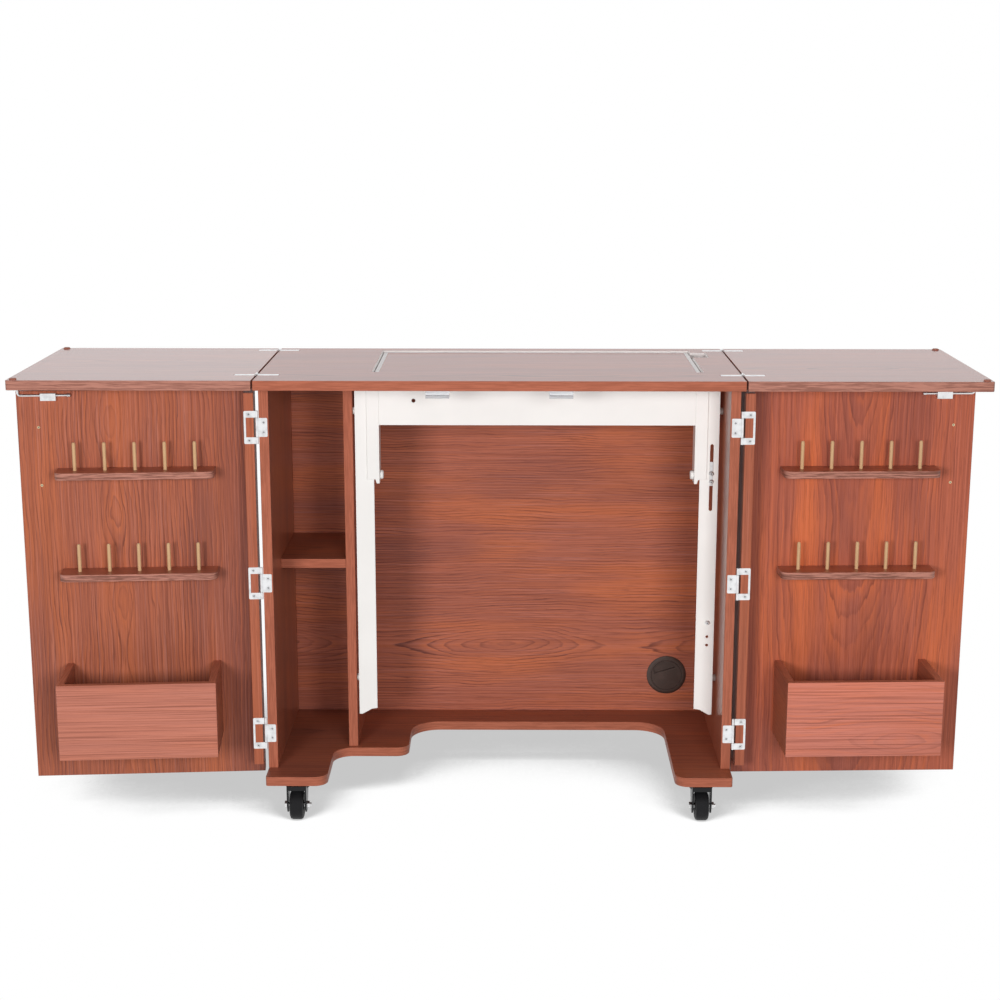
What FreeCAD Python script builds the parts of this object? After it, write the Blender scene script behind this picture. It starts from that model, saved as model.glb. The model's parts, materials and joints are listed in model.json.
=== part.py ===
import FreeCAD, Part
import os
import re
import Sketcher

# Fold-away sewing cabinet on casters, in millimetres, +Z up.
# The origin is on the floor under the middle of the table top; the front faces -Y.
# It stands open: both leaves out flat, both doors swung round under them, the lift raised.

Vector = FreeCAD.Vector
Rotation = FreeCAD.Rotation
doc = FreeCAD.newDocument("SewingCabinet")

# Driving dimensions.
SIZES = {
    # table top and leaves
    "centre_width": 780,      # middle part of the top
    "leaf_width": 388,        # each folding leaf
    "seam": 3,                # gap between the middle and a leaf
    "top_depth": 400,
    "table_height": 752,
    "board": 16,              # all main boards
    "leaf_corner": 5,         # rounding of a leaf's outer corners
    # carcass
    "caster_height": 70,      # floor to the underside of the base
    "side_inset": 1,          # side panel in from the end of the top
    "side_setback": 58,       # front of the top to the front edge of a side
    "back_overhang": 12,      # top past the back panel
    "bay_width": 110.5,         # book bay, between side and partition
    "bay_setback": 111,       # side's front edge to the partition's
    "shelf_rise": 320,        # base to the underside of the shelf
    # outline of the base
    "left_foot": 102,
    "right_foot": 95,
    "step_lead": 7.5,         # step ahead of the partition
    "step_reach": 88,         # step past the partition into the knee space
    "rear_strip": 83,         # base left behind the knee space
    "foot_round": 22,
    "base_corner": 4,
    "step_curve": 34,
    "knee_curve": 52,
    # opening for the lift
    "front_rail": 102,
    "rear_rail": 29,
    "notch_length": 60,       # cable notch in the right edge
    "notch_depth": 27,
    "notch_back": 25,
    # leaf hinges
    "strap_length": 34,
    "strap_width": 14,
    "strap_thick": 1.5,
    "front_strap": 68,        # front edge of the top to the strap's middle
    "rear_strap": 27,
    "fold_rise": 1.5,         # fold axis above the table
    "fold_barrel": 1.4,       # radius of the barrel
    "fold_pin": 0.6,
    "fold_knuckle": 6,        # middle knuckle
    "knuckle_gap": 0.3,
    "mortise_gap": 0.2,
    "running_gap": 0.05,      # pin in its barrel
    "bumper_radius": 6,
    "bumper_crown": 4.6,
    "bumper_height": 2.3,
    "bumper_shoulder": 1.4,
    "bumper_inset": 10.5,
    # doors
    "pin_out": 3,             # hinge pin outside the side panel
    "hinge_gap": 2,           # closed gap between side and rail
    "door_start": 5,          # pin to the near edge of the door
    "door_width": 384,
    "rail_depth": 44,
    "door_drop": 5,           # door below the underside of the base
    "door_head": 12,          # door below the underside of the top
    "rail_foot": 6,           # rail above the base
    "door_gap": 0.5,          # closed door ahead of the base
    "left_turn": 4.5,         # degrees short of square, left door
    "right_turn": 2,          # degrees past square, right door
    # door hinges
    "hinge_height": 54,
    "tab_height": 31,
    "tab_reach": 17,
    "window_gap": 0.6,
    "leaf_thick": 1.8,
    "barrel_radius": 2.4,
    "pin_radius": 1.25,
    "leaf_round": 2,          # corners of a hinge leaf
    "low_hinge_rise": 56,     # foot of the rail to the middle of the lowest hinge
    "top_hinge_drop": 56,     # top of the rail to the middle of the highest hinge
    "screw_head": 2.6,
    "screw_hole": 2.75,
    "screw_shank": 1.3,
    "screw_length": 14,
    "screw_sunk": 0.1,
    "tab_screw": 8,           # screw from the middle of the hinge
    "window_screw": 21.5,
    "screw_reach": 13,        # window screw from the pin
    "tab_screw_reach": 11,
    # thread racks and pegs
    "rack_start": 72,
    "rack_length": 256,
    "rack_depth": 50,
    "rack_thick": 12,
    "rack_round": 14,
    "upper_rack_drop": 139,   # top of the door to the underside of the upper rack
    "rack_pitch": 169,        # upper rack to lower rack
    "peg_radius": 3,
    "peg_tip": 2,
    "peg_height": 46,
    "peg_sink": 8,
    "peg_pitch": 48.5,
    "peg_taper": 2.5,
    # bins
    "bin_start": 74,
    "bin_length": 256,
    "bin_depth": 130,
    "bin_height": 127,
    "bin_rise": 72,
    "bin_board": 12,
    # pull handles
    "handle_inset": 34,       # free edge of the door to the handle
    "handle_centres": 96,
    "handle_drop": 59.5,      # top of the door to the upper screw
    "handle_radius": 5,
    "handle_out": 28,
    "handle_bend": 9,
    "handle_screw_head": 2.3,
    "handle_screw_height": 1.5,
    "handle_screw_shank": 1.6,
    # lock rods
    "rod_radius": 2,
    "rod_length": 84,
    "rod_drop": 6.5,          # rod below the top of the door
    "rod_out": 5,             # rod ahead of the door panel
    "rod_bend": 5,
    "rod_knob": 2.8,          # radius of the knob on the inner end
    "rod_knob_length": 5,
    "rod_end": 4,             # upturned end in from the edge of the door
    "rod_clear": 2,           # upturned end below the leaf
    "saddle_inset": 40,
    "saddle_length": 25,
    "saddle_height": 12,
    "saddle_rise": 3.5,       # top of the saddle above the rod
    "saddle_depth": 9,
    "saddle_bore_gap": 0.3,
    # lift
    "post_width": 31,
    "post_depth": 30,
    "post_lead": 14,          # post ahead of the partition
    "post_rise": 64,
    "post_wall": 2,
    "left_standoff": 4.5,     # partition to the left post
    "right_standoff": 7,      # right side to the right post
    "boss_radius": 6,         # bosses that hold a post off its board
    "boss_back": 9,           # front of the partition to the middle of a boss
    "boss_inset": 60,         # end of the post to the middle of a boss
    "foot_flat": 5.5,         # foot of a post, from its outer edge inwards
    "foot_run": 15.5,
    "foot_slope": 9,
    "foot_tip": 1.5,
    "opening_gap": 3,         # post to the edge of the opening in the top
    "platform_gap": 5,
    "platform_drop": 3,
    "carriage_wall": 2,
    "carriage_gap": 1,
    "web_gap": 4.5,
    "flange_width": 21,
    "carriage_length": 176.5,
    "lug_height": 7,          # inner corner of a flange below the rest of it
    "lug_width": 5,
    "lug_slope": 2,
    "apron_height": 77,
    "apron_ledge": 22,
    "apron_hole": 3.3,
    "apron_hole_inset": 58,
    "apron_hole_drop": 36,
    "glide_height": 30,
    "glide_length": 20,
    "glide_gap": 0.5,
    "upper_glide": 122,       # above the foot of the carriage
    "lower_glide": 12,
    "knob_radius": 7.5,
    "knob_face": 6,
    "knob_length": 6,
    "knob_shoulder": 4.5,
    "knob_rise": 13.5,
    "knob_back": 12,
    # lock of the lift, on the right post
    "slot_width": 6,
    "slot_inset": 18.5,
    "slot_drop": 112,         # underside of the table to the top of the slot
    "slot_length": 114,
    "tongue_gap": 0.2,        # lock tongue in its slot
    "tongue_rise": 43,        # foot of the slot to the foot of the tongue
    "tongue_height": 41,
    "bolt_radius": 4.1,       # domed bolt heads
    "bolt_height": 4,
    "bolt_crown": 2.4,
    "bolt_rise": 7,           # foot of the tongue to the lower bolt
    "bolt_pitch": 14.2,
    "stop_bolt_rise": 165,
    "spare_hole": 2.6,
    "spare_hole_rise": 140,
    "spare_hole_pitch": 15,
    # door catches
    "catch_offset": 98.5,
    "catch_width": 38,
    "catch_height": 14,
    "catch_depth": 34,
    "catch_lip": 5,
    "catch_lip_height": 4.5,
    "catch_gap": 1.5,
    # cable grommet
    "grommet_inset": 68,
    "grommet_rise": 69,
    "grommet_radius": 30,
    "grommet_flange": 36,
    "grommet_face": 31,       # flat front of the flange, inside its slope
    "flange_thick": 3.5,
    "flange_edge": 1,
    "grommet_wall": 2,
    "cap_gap": 0.3,
    "cap_thick": 3.5,
    "cap_rim": 3,
    "port_radius": 26,        # cable port in the cap
    "port_chord": 9.7,        # middle of the cap to the straight side of the port
    "port_width": 39,
    "port_tilt": 18,          # degrees
    "shutter_thick": 2,
    "shutter_drop": 2,        # shutter past the middle of the sleeve
    # casters
    "caster_in": 48,          # swivel axis in from the ends of the base
    "wheel_radius": 25,
    "wheel_width": 23,
    "tread_round": 5,
    "hub_radius": 13,
    "hub_dish": 2,
    "trail": 14,
    "fork_wall": 2.5,
    "fork_gap": 2.5,          # wheel to fork cheek
    "fork_top": 9,            # base to the top of the fork
    "fork_crown": 8,
    "cheek_front": 12,
    "cheek_round": 6,
    "axle_radius": 4,
    "axle_nut": 6.5,          # corner radius of the bolt's head and nut
    "axle_nut_thick": 4.5,
    "axle_end": 3.2,          # radius of the thread past the nut
    "axle_end_length": 3,
    "plate_size": 44,
    "plate_thick": 3,
    "race_radius": 20,
    "race_gap": 0.5,
    "king_pin": 4,
    # one overrun for all cuts
    "overrun": 2,
}

# Places worked out from the driving dimensions.
PLACES = {
    "table_under": "table_height - board",
    "base_top": "caster_height + board",
    "top_front": "-top_depth / 2",
    "top_back": "top_depth / 2",
    "side_out": "centre_width / 2 - side_inset",
    "side_in": "side_out - board",
    "side_front": "top_front + side_setback",
    "carcass_back": "top_back - back_overhang",
    "back_face": "carcass_back - board",
    "carcass_height": "table_under - base_top",
    "partition_left": "-side_in + bay_width",
    "partition_right": "partition_left + board",
    "bay_front": "side_front + bay_setback",
    "base_front": "side_front - hinge_gap - rail_depth + door_gap",
    # lift
    "left_post": "partition_right + left_standoff",
    "right_post": "side_in - right_standoff",
    "opening_left": "left_post + post_width + opening_gap",
    "opening_right": "right_post - post_width - opening_gap",
    "post_front": "bay_front - post_lead",
    "post_back": "post_front + post_depth",
    "post_foot": "base_top + post_rise",
    "opening_front": "top_front + front_rail",
    "opening_back": "top_back - rear_rail",
    "platform_under": "table_under - platform_drop",
    "web_left": "opening_left + web_gap",
    "web_right": "opening_right - web_gap",
    "flange_front": "post_front - carriage_gap - carriage_wall",
    "flange_back": "post_back + carriage_gap + carriage_wall",
    "carriage_foot": "platform_under - carriage_length",
    "slot_middle": "side_in - slot_inset",
    "slot_foot": "table_under - slot_drop - slot_length",
    # leaf hinges
    "fold_place": "centre_width / 2 + seam / 2",
    "fold_height": "table_height + fold_rise",
    "leaf_start": "centre_width / 2 + seam",
    # doors, measured from the hinge pin with the door open and square
    "pin_place": "side_out + pin_out",
    "pin_front": "side_front - hinge_gap / 2",
    "door_end": "door_start + door_width",
    "door_bottom": "caster_height - door_drop",
    "door_top": "table_under - door_head",
    "rail_edge": "hinge_gap / 2",
    "panel_face": "rail_edge + rail_depth",
    "panel_back": "panel_face + board",
    "rod_height": "door_top - rod_drop",
    "rod_front": "panel_face - rod_out",
    "rod_tip": "door_end - rod_end",
    "handle_place": "door_end - handle_inset",
    "handle_low": "door_top - handle_drop - handle_centres",
    "hinge_low": "base_top + rail_foot + low_hinge_rise",
    "hinge_high": "door_top - top_hinge_drop",
    "hinge_middle": "(hinge_low + hinge_high) / 2",
    # casters, measured from the swivel axis
    "fork_width": "wheel_width + 2 * fork_gap",
    "fork_height": "caster_height - fork_top",
}

HINGES = ("hinge_low", "hinge_middle", "hinge_high")
PEGS_PER_RACK = 5
ARC_SHARE = 0.293             # middle of a quarter arc, in from its corner
SIDES_PER_NUT = 6
QUARTER = 90
HALF_TURN = 180
FULL_TURN = 360
SIDES = ("left", "right")
NODES = []

sheet = doc.addObject("Spreadsheet::Sheet", "Sizes")
for row, (alias, value) in enumerate(SIZES.items(), start=1):
    sheet.set("A%d" % row, alias)
    sheet.set("B%d" % row, str(value))
    sheet.setAlias("B%d" % row, alias)
doc.recompute()


def expand(text):
    """Writes a formula of named sizes and places with the sheet's cells."""
    def swap(match):
        word = match.group(0)
        if word in PLACES:
            return "(" + expand(PLACES[word]) + ")"
        return "Sizes." + word if word in SIZES else word
    return re.sub(r"[a-z][a-z_]*", swap, text)


def bind(thing, prop, text):
    thing.setExpression(prop, expand(text))


def put(thing, place, turn=None):
    if turn is not None:
        thing.Placement = FreeCAD.Placement(Vector(), turn)
    for axis, text in zip("xyz", place):
        bind(thing, "Placement.Base." + axis, text)
    return thing


def node(name, thing):
    """Keeps a finished piece under the name that a person would use."""
    thing.Label = name
    NODES.append(thing)
    return thing


# Solids that the pieces are made of.

ALONG = {
    "x": Rotation(Vector(0, 1, 0), QUARTER),
    "y": Rotation(Vector(1, 0, 0), -QUARTER),
    "z": Rotation(),
}


def block(corner, span):
    box = doc.addObject("Part::Box", "Block")
    for prop, text in zip(("Length", "Width", "Height"), span):
        bind(box, prop, text)
    return put(box, corner)


def bar(start, radius, length, along):
    cylinder = doc.addObject("Part::Cylinder", "Bar")
    bind(cylinder, "Radius", radius)
    bind(cylinder, "Height", length)
    return put(cylinder, start, ALONG[along])


def hexagon(start, radius, length, along):
    prism = doc.addObject("Part::Prism", "Hexagon")
    prism.Polygon = SIDES_PER_NUT
    bind(prism, "Circumradius", radius)
    bind(prism, "Height", length)
    return put(prism, start, ALONG[along])


def ball(centre, radius):
    sphere = doc.addObject("Part::Sphere", "Ball")
    bind(sphere, "Radius", radius)
    return put(sphere, centre)


def bend(centre, radius, thickness, turn):
    """A quarter ring, which joins two bars."""
    ring = doc.addObject("Part::Torus", "Bend")
    bind(ring, "Radius1", radius)
    bind(ring, "Radius2", thickness)
    ring.Angle3 = QUARTER
    return put(ring, centre, turn)


def fuse(*pieces):
    whole = doc.addObject("Part::MultiFuse", "Fused")
    whole.Shapes = list(pieces)
    return whole


def group(*pieces):
    several = doc.addObject("Part::Compound", "Group")
    several.Links = list(pieces)
    return several


def cut(piece, *tools):
    rest = doc.addObject("Part::Cut", "Shaped")
    rest.Base = piece
    rest.Tool = tools[0] if len(tools) == 1 else fuse(*tools)
    return rest


def shared(*pieces):
    """What two solids have in common."""
    both = doc.addObject("Part::MultiCommon", "Shared")
    both.Shapes = list(pieces)
    return both


def new_sketch(body, role, points):
    """A closed outline whose corners are bound to the sheet."""
    sketch = body.newObject("Sketcher::SketchObject", "Outline")
    plane = [feature for feature in body.Origin.OriginFeatures if feature.Role == role]
    sketch.AttachmentSupport = [(plane[0], "")]
    sketch.MapMode = "FlatFace"
    count = len(points)
    turns = [Rotation(Vector(0, 0, 1), FULL_TURN * index / count) for index in range(count)]
    start = [turn.multVec(Vector(1, 0, 0)) for turn in turns]
    for index in range(count):
        sketch.addGeometry(Part.LineSegment(start[index], start[(index + 1) % count]), False)
    for index in range(count):
        sketch.addConstraint(Sketcher.Constraint("Coincident", index, 2, (index + 1) % count, 1))
    for index, point in enumerate(points):
        for kind, axis, text, value in zip(("DistanceX", "DistanceY"), (-2, -1), point, start[index]):
            if text == "0":
                sketch.addConstraint(Sketcher.Constraint("PointOnObject", index, 1, axis))
                continue
            number = sketch.addConstraint(Sketcher.Constraint(kind, -1, 1, index, 1, value))
            bind(sketch, "Constraints[%d]" % number, text)
    return sketch


def plate(points, thickness, rounds=(), role="XY_Plane"):
    """A flat board of any outline; rounds gives (radius, the outline's corners)."""
    body = doc.addObject("PartDesign::Body", "Board")
    sketch = new_sketch(body, role, points)
    pad = body.newObject("PartDesign::Pad", "Thickness")
    pad.Profile = sketch
    bind(pad, "Length", thickness)
    last = pad
    doc.recompute()
    corners = [sketch.Geometry[index].StartPoint for index in range(len(points))]
    corners = [sketch.Placement.multVec(corner) for corner in corners]
    normal = sketch.Placement.Rotation.multVec(Vector(0, 0, 1))
    for radius, wanted in rounds:
        edges = []
        for number, edge in enumerate(last.Shape.Edges, start=1):
            first, second = edge.Vertexes[0].Point, edge.Vertexes[-1].Point
            upright = (second - first).cross(normal).Length < Part.Precision.confusion()
            near = [first.distanceToLine(corners[index], normal) for index in wanted]
            if upright and min(near) < Part.Precision.confusion():
                edges.append("Edge%d" % number)
        rounding = body.newObject("PartDesign::Fillet", "Rounding")
        rounding.Base = (last, edges)
        bind(rounding, "Radius", radius)
        last = rounding
        doc.recompute()
    body.Tip = last
    return body


def turned(points):
    """A turned piece about the Z axis, from an outline of radius and height."""
    body = doc.addObject("PartDesign::Body", "Turned")
    sketch = new_sketch(body, "XZ_Plane", points)
    turn = body.newObject("PartDesign::Revolution", "Turning")
    turn.Profile = sketch
    turn.ReferenceAxis = (sketch, ["V_Axis"])
    body.Tip = turn
    return body


def rectangle(width, depth):
    return [("0", "0"), (width, "0"), (width, depth), ("0", depth)]


# Carcass: boards that stand on the base and carry the middle of the top.

def carcass():
    for name, place in (("side_left", "-side_out"), ("side_right", "side_in")):
        depth = "carcass_back - side_front"
        node(name, block((place, "side_front", "base_top"), ("board", depth, "carcass_height")))
    depth = "back_face - bay_front"
    node("partition", block(("partition_left", "bay_front", "base_top"), ("board", depth, "carcass_height")))
    shelf_corner = ("-side_in", "bay_front", "base_top + shelf_rise")
    node("shelf", block(shelf_corner, ("bay_width", depth, "board")))
    base_board()
    back_panel()
    centre_top()
    door_catches()


def base_board():
    """Scalloped at the front: a foot each side, a step under the bay, a deep knee recess."""
    step_front = "bay_front - step_lead"
    step_end = "partition_right + step_reach"
    knee_front = "carcass_back - rear_strip"
    left_edge = "-side_out + left_foot"
    right_edge = "side_out - right_foot"
    outline = [
        ("-side_out", "base_front"),
        (left_edge, "base_front"),
        (left_edge, step_front),
        (step_end, step_front),
        (step_end, knee_front),
        (right_edge, knee_front),
        (right_edge, "base_front"),
        ("side_out", "base_front"),
        ("side_out", "carcass_back"),
        ("-side_out", "carcass_back"),
    ]
    rounds = (
        ("foot_round", (1, 3, 6)),
        ("step_curve", (2,)),
        ("knee_curve", (4, 5)),
        ("base_corner", (0, 7)),
    )
    board = plate(outline, "board", rounds)
    node("base", put(board, ("0", "0", "caster_height")))


def grommet_place():
    return "side_in - grommet_inset", "back_face", "base_top + grommet_rise"


def back_panel():
    x, y, z = grommet_place()
    panel = block(("-side_in", "back_face", "base_top"), ("2 * side_in", "board", "carcass_height"))
    hole = bar((x, y + " - overrun", z), "grommet_radius", "board + 2 * overrun", "y")
    node("back_panel", cut(panel, hole))


def strap_places():
    """Middle of each leaf hinge along the depth of the top."""
    return "top_front + front_strap", "top_back - rear_strap"


def mortise(start, middle):
    corner = (start, middle + " - strap_width / 2 - mortise_gap", "table_height - strap_thick")
    width = "strap_width + 2 * mortise_gap"
    return block(corner, ("strap_length + mortise_gap", width, "strap_thick + overrun"))


def centre_top():
    half = "centre_width / 2"
    board = block(("-" + half, "top_front", "table_under"), ("centre_width", "top_depth", "board"))
    through = "board + 2 * overrun"
    opening = block(
        ("opening_left", "opening_front", "table_under - overrun"),
        ("opening_right - opening_left", "opening_back - opening_front", through),
    )
    notch = block(
        ("opening_right - overrun", "opening_back - notch_back - notch_length", "table_under - overrun"),
        ("notch_depth + overrun", "notch_length", through),
    )
    mortises = []
    for middle in strap_places():
        mortises.append(mortise("-" + half, middle))
        mortises.append(mortise(half + " - strap_length - mortise_gap", middle))
    node("centre_top", cut(board, opening, notch, *mortises))


def door_catches():
    """Two spring catches under the front of the top, each with an upper and a lower lip."""
    catches = []
    front = "base_front + catch_gap"
    lip = ("catch_width", "catch_lip", "catch_lip_height")
    for centre in ("-catch_offset", "catch_offset"):
        left = centre + " - catch_width / 2"
        body = block((left, front + " + catch_lip", "table_under - catch_height"),
                     ("catch_width", "catch_depth - catch_lip", "catch_height"))
        upper = block((left, front, "table_under - catch_lip_height"), lip)
        lower = block((left, front, "table_under - catch_height"), lip)
        catches.append(fuse(body, upper, lower))
    node("door_catches", group(*catches))


# Cable grommet in the back panel: a sleeve with a half shutter, and a cap that turns its port past it.

def grommet():
    facing = ALONG["y"]
    place = grommet_place()
    inner = "grommet_radius - grommet_wall"
    bore = inner + " - cap_rim"
    seat = "cap_thick - flange_thick + cap_gap"
    ring = turned([
        (inner, "-flange_thick"),
        ("grommet_face", "-flange_thick"),
        ("grommet_flange", "-flange_edge"),
        ("grommet_flange", "0"),
        ("grommet_radius", "0"),
        ("grommet_radius", "board"),
        (bore, "board"),
        (bore, seat),
        (inner, seat),
    ])
    disc = bar(("0", "0", seat), inner, "shutter_thick", "z")
    half = block(("-grommet_radius", "-grommet_radius", seat),
                 ("2 * grommet_radius", "grommet_radius + shutter_drop", "shutter_thick"))
    node("grommet_sleeve", put(group(fuse(ring, shared(disc, half))), place, facing))
    cap = bar(("0", "0", "-flange_thick"), inner + " - cap_gap", "cap_thick", "z")
    below = "-flange_thick - overrun"
    deep = "cap_thick + 2 * overrun"
    segment = bar(("0", "0", below), "port_radius", deep, "z")
    beyond = block(("-port_width / 2", "-port_radius", below),
                   ("port_width", "port_radius - port_chord", deep))
    port = shared(segment, beyond)
    put(port, ("0", "0", "0"), Rotation(Vector(0, 0, -1), 1))
    bind(port, "Placement.Rotation.Angle", "port_tilt")
    node("grommet_cap", put(group(cut(cap, port)), place, facing))


# Leaf hinges: strap plates let flush into the top, with the fold axis just above it.

def strap(side, middle, on_leaf):
    """One half of a leaf hinge: the strap, its knuckles and, on the middle of the top, the pin."""
    sign = "-" if side == "left" else ""
    axis = sign + "fold_place"
    outward = (side == "right") == on_leaf
    edge = sign + ("leaf_start" if on_leaf else "centre_width / 2")
    near = edge if outward else edge + " - strap_length"
    low = "table_height - strap_thick"
    flat = block((near, middle + " - strap_width / 2", low), ("strap_length", "strap_width", "strap_thick"))
    front = middle + " - strap_width / 2"
    knuckle = "fold_knuckle"
    starts = [middle + " - fold_knuckle / 2"]
    if on_leaf:
        knuckle = "(strap_width - fold_knuckle) / 2 - knuckle_gap"
        starts = [front, middle + " + fold_knuckle / 2 + knuckle_gap"]
    pieces = [flat]
    reach = "seam / 2 + strap_thick"
    for start in starts:
        pieces.append(bar((axis, start, "fold_height"), "fold_barrel", knuckle, "y"))
        curl = axis if outward else axis + " - " + "(" + reach + ")"
        pieces.append(block((curl, start, "table_height - strap_thick / 2"),
                            (reach, knuckle, "fold_rise + strap_thick / 2")))
    pin = bar((axis, front, "fold_height"), "fold_pin", "strap_width", "y")
    if not on_leaf:
        return fuse(*pieces, pin)
    bore = bar((axis, front + " - overrun", "fold_height"), "fold_pin + running_gap",
               "strap_width + 2 * overrun", "y")
    return cut(fuse(*pieces), bore)


def leaf_hinge_plates():
    plates = [strap(side, middle, False) for side in SIDES for middle in strap_places()]
    node("leaf_hinge_plates", group(*plates))


# Folding leaves: a board with rounded outer corners, hinge flaps and rubber bumpers.

def bumper(x, y):
    piece = turned([
        ("0", "0"),
        ("bumper_radius", "0"),
        ("bumper_radius", "bumper_shoulder"),
        ("bumper_crown", "bumper_height"),
        ("0", "bumper_height"),
    ])
    return put(piece, (x, y, "table_height"))


def folding_leaf(side):
    sign = "-" if side == "left" else ""
    near = sign + "leaf_start"
    far = sign + "(leaf_start + leaf_width)"
    outline = [(near, "top_front"), (far, "top_front"), (far, "top_back"), (near, "top_back")]
    board = put(plate(outline, "board", (("leaf_corner", (1, 2)),)), ("0", "0", "table_under"))
    start = "leaf_start"
    if side == "left":
        start = "-leaf_start - strap_length - mortise_gap"
    mortises = [mortise(start, middle) for middle in strap_places()]
    node("leaf_" + side, cut(board, *mortises))
    flaps = [strap(side, middle, True) for middle in strap_places()]
    node("leaf_hinge_flaps_" + side, group(*flaps))
    across = sign + "(leaf_start + leaf_width - bumper_inset)"
    bumpers = [bumper(across, "top_front + bumper_inset"), bumper(across, "top_back - bumper_inset")]
    node("leaf_bumpers_" + side, group(*bumpers))


# Door hinges on the carcass: a tab on the side's front edge, the pin, and two screws.

def hinge_flat(near, far, face, low, height):
    """The flat of a hinge leaf, with round corners away from its barrel."""
    high = low + " + " + height
    outline = [(near, low), (far, low), (far, high), (near, high)]
    flat = plate(outline, "leaf_thick", (("leaf_round", (1, 2)),), role="XZ_Plane")
    return put(flat, ("0", face + " + leaf_thick", "0"))


def hinge_tabs():
    tabs, pins, screws = [], [], []
    face = "side_front - leaf_thick"
    for side in SIDES:
        sign = "-" if side == "left" else ""
        axis = sign + "pin_place"
        far = sign + "(pin_place - tab_reach)"
        screw_place = sign + "(pin_place - tab_screw_reach)"
        for middle in HINGES:
            low = middle + " - tab_height / 2"
            flat = hinge_flat(axis, far, face, low, "tab_height")
            barrel = bar((axis, "pin_front", low), "barrel_radius", "tab_height", "z")
            holes = [bar((axis, "pin_front", low + " - overrun"), "pin_radius + running_gap",
                         "tab_height + 2 * overrun", "z")]
            for offset in (" - tab_screw", " + tab_screw"):
                place = (screw_place, face + " - overrun", middle + offset)
                holes.append(bar(place, "screw_hole", "leaf_thick + 2 * overrun", "y"))
                head = (screw_place, face + " + screw_sunk", middle + offset)
                screws.append(hinge_screw(head, "y"))
            tabs.append(cut(fuse(flat, barrel), *holes))
            foot = (axis, "pin_front", middle + " - hinge_height / 2")
            pins.append(bar(foot, "pin_radius", "hinge_height", "z"))
    node("hinge_tabs", group(*tabs, *screws))
    node("hinge_pins", group(*pins))


def hinge_screw(place, along):
    head = bar(place, "screw_head", "leaf_thick - screw_sunk", along)
    shank = bar(place, "screw_shank", "screw_length", along)
    return fuse(head, shank)


# Doors, drawn from the hinge pin with the door open and square, then turned a little.

def across(side, start, length):
    """Left end of a span that starts this far from the pin."""
    return start if side == "right" else "-(" + start + ") - (" + length + ")"


def on_door(side, name, *pieces):
    hung = group(*pieces)
    sign = "-" if side == "left" else ""
    put(hung, (sign + "pin_place", "pin_front", "0"), Rotation(Vector(0, 0, 1), 1))
    bind(hung, "Placement.Rotation.Angle", side + "_turn")
    return node(name + "_" + side, hung)


def door_board(side, start, length, front, depth, low, height):
    return block((across(side, start, length), front, low), (length, depth, height))


def door(side):
    height = "door_top - door_bottom"
    panel = door_board(side, "door_start", "door_width", "panel_face", "board", "door_bottom", height)
    on_door(side, "door_panel", panel)
    rail = door_board(side, "door_start", "board", "rail_edge", "rail_depth",
                      "base_top + rail_foot", "door_top - base_top - rail_foot")
    on_door(side, "door_rail", rail)
    hinge_windows(side)
    thread_racks(side)
    bin_boards(side)
    pull_handle(side)
    lock_rod(side)


def hinge_windows(side):
    """Outer hinge leaves on the edge of the rail; the tab nests in the window when closed."""
    leaves, screws = [], []
    far = ("" if side == "right" else "-") + "(door_start + board)"
    face = "rail_edge - leaf_thick"
    window = "tab_reach + window_gap"
    screw_x = "screw_reach" if side == "right" else "-screw_reach"
    for middle in HINGES:
        low = middle + " - hinge_height / 2"
        flat = hinge_flat("0", far, face, low, "hinge_height")
        barrel = bar(("0", "0", low), "barrel_radius", "hinge_height", "z")
        gap = "tab_height / 2 + window_gap"
        opening = door_board(side, "-overrun - barrel_radius", window + " + overrun + barrel_radius",
                             face + " - overrun", "leaf_thick + 2 * overrun",
                             middle + " - (" + gap + ")", "2 * (" + gap + ")")
        holes = [opening]
        holes.append(bar(("0", "0", low + " - overrun"), "pin_radius + running_gap",
                         "hinge_height + 2 * overrun", "z"))
        holes.append(bar(("0", "0", middle + " - (" + gap + ")"), "barrel_radius + overrun",
                         "2 * (" + gap + ")", "z"))
        for offset in (" - window_screw", " + window_screw"):
            holes.append(bar((screw_x, face + " - overrun", middle + offset), "screw_hole",
                             "leaf_thick + 2 * overrun", "y"))
            screws.append(hinge_screw((screw_x, face + " + screw_sunk", middle + offset), "y"))
        leaves.append(cut(fuse(flat, barrel), *holes))
    on_door(side, "hinge_windows", *leaves, *screws)


def thread_racks(side):
    racks, pegs = [], []
    sign = "-" if side == "left" else ""
    middle = sign + "(rack_start + rack_length / 2)"
    for drop in ("upper_rack_drop", "upper_rack_drop + rack_pitch"):
        low = "door_top - (" + drop + ")"
        left = across(side, "rack_start", "rack_length")
        board = plate(rectangle("rack_length", "rack_depth"), "rack_thick", (("rack_round", (0, 1)),))
        racks.append(put(board, (left, "panel_face - rack_depth", low)))
        for count in range(PEGS_PER_RACK):
            step = count - (PEGS_PER_RACK - 1) / 2
            peg = turned([
                ("0", "-peg_sink"),
                ("peg_radius", "-peg_sink"),
                ("peg_radius", "peg_height - peg_taper"),
                ("peg_tip", "peg_height"),
                ("0", "peg_height"),
            ])
            place = middle + " + %g * peg_pitch" % step
            pegs.append(put(peg, (place, "panel_face - rack_depth / 2", low + " + rack_thick")))
    on_door(side, "thread_racks", *racks)
    on_door(side, "spool_pegs", *pegs)


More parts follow.
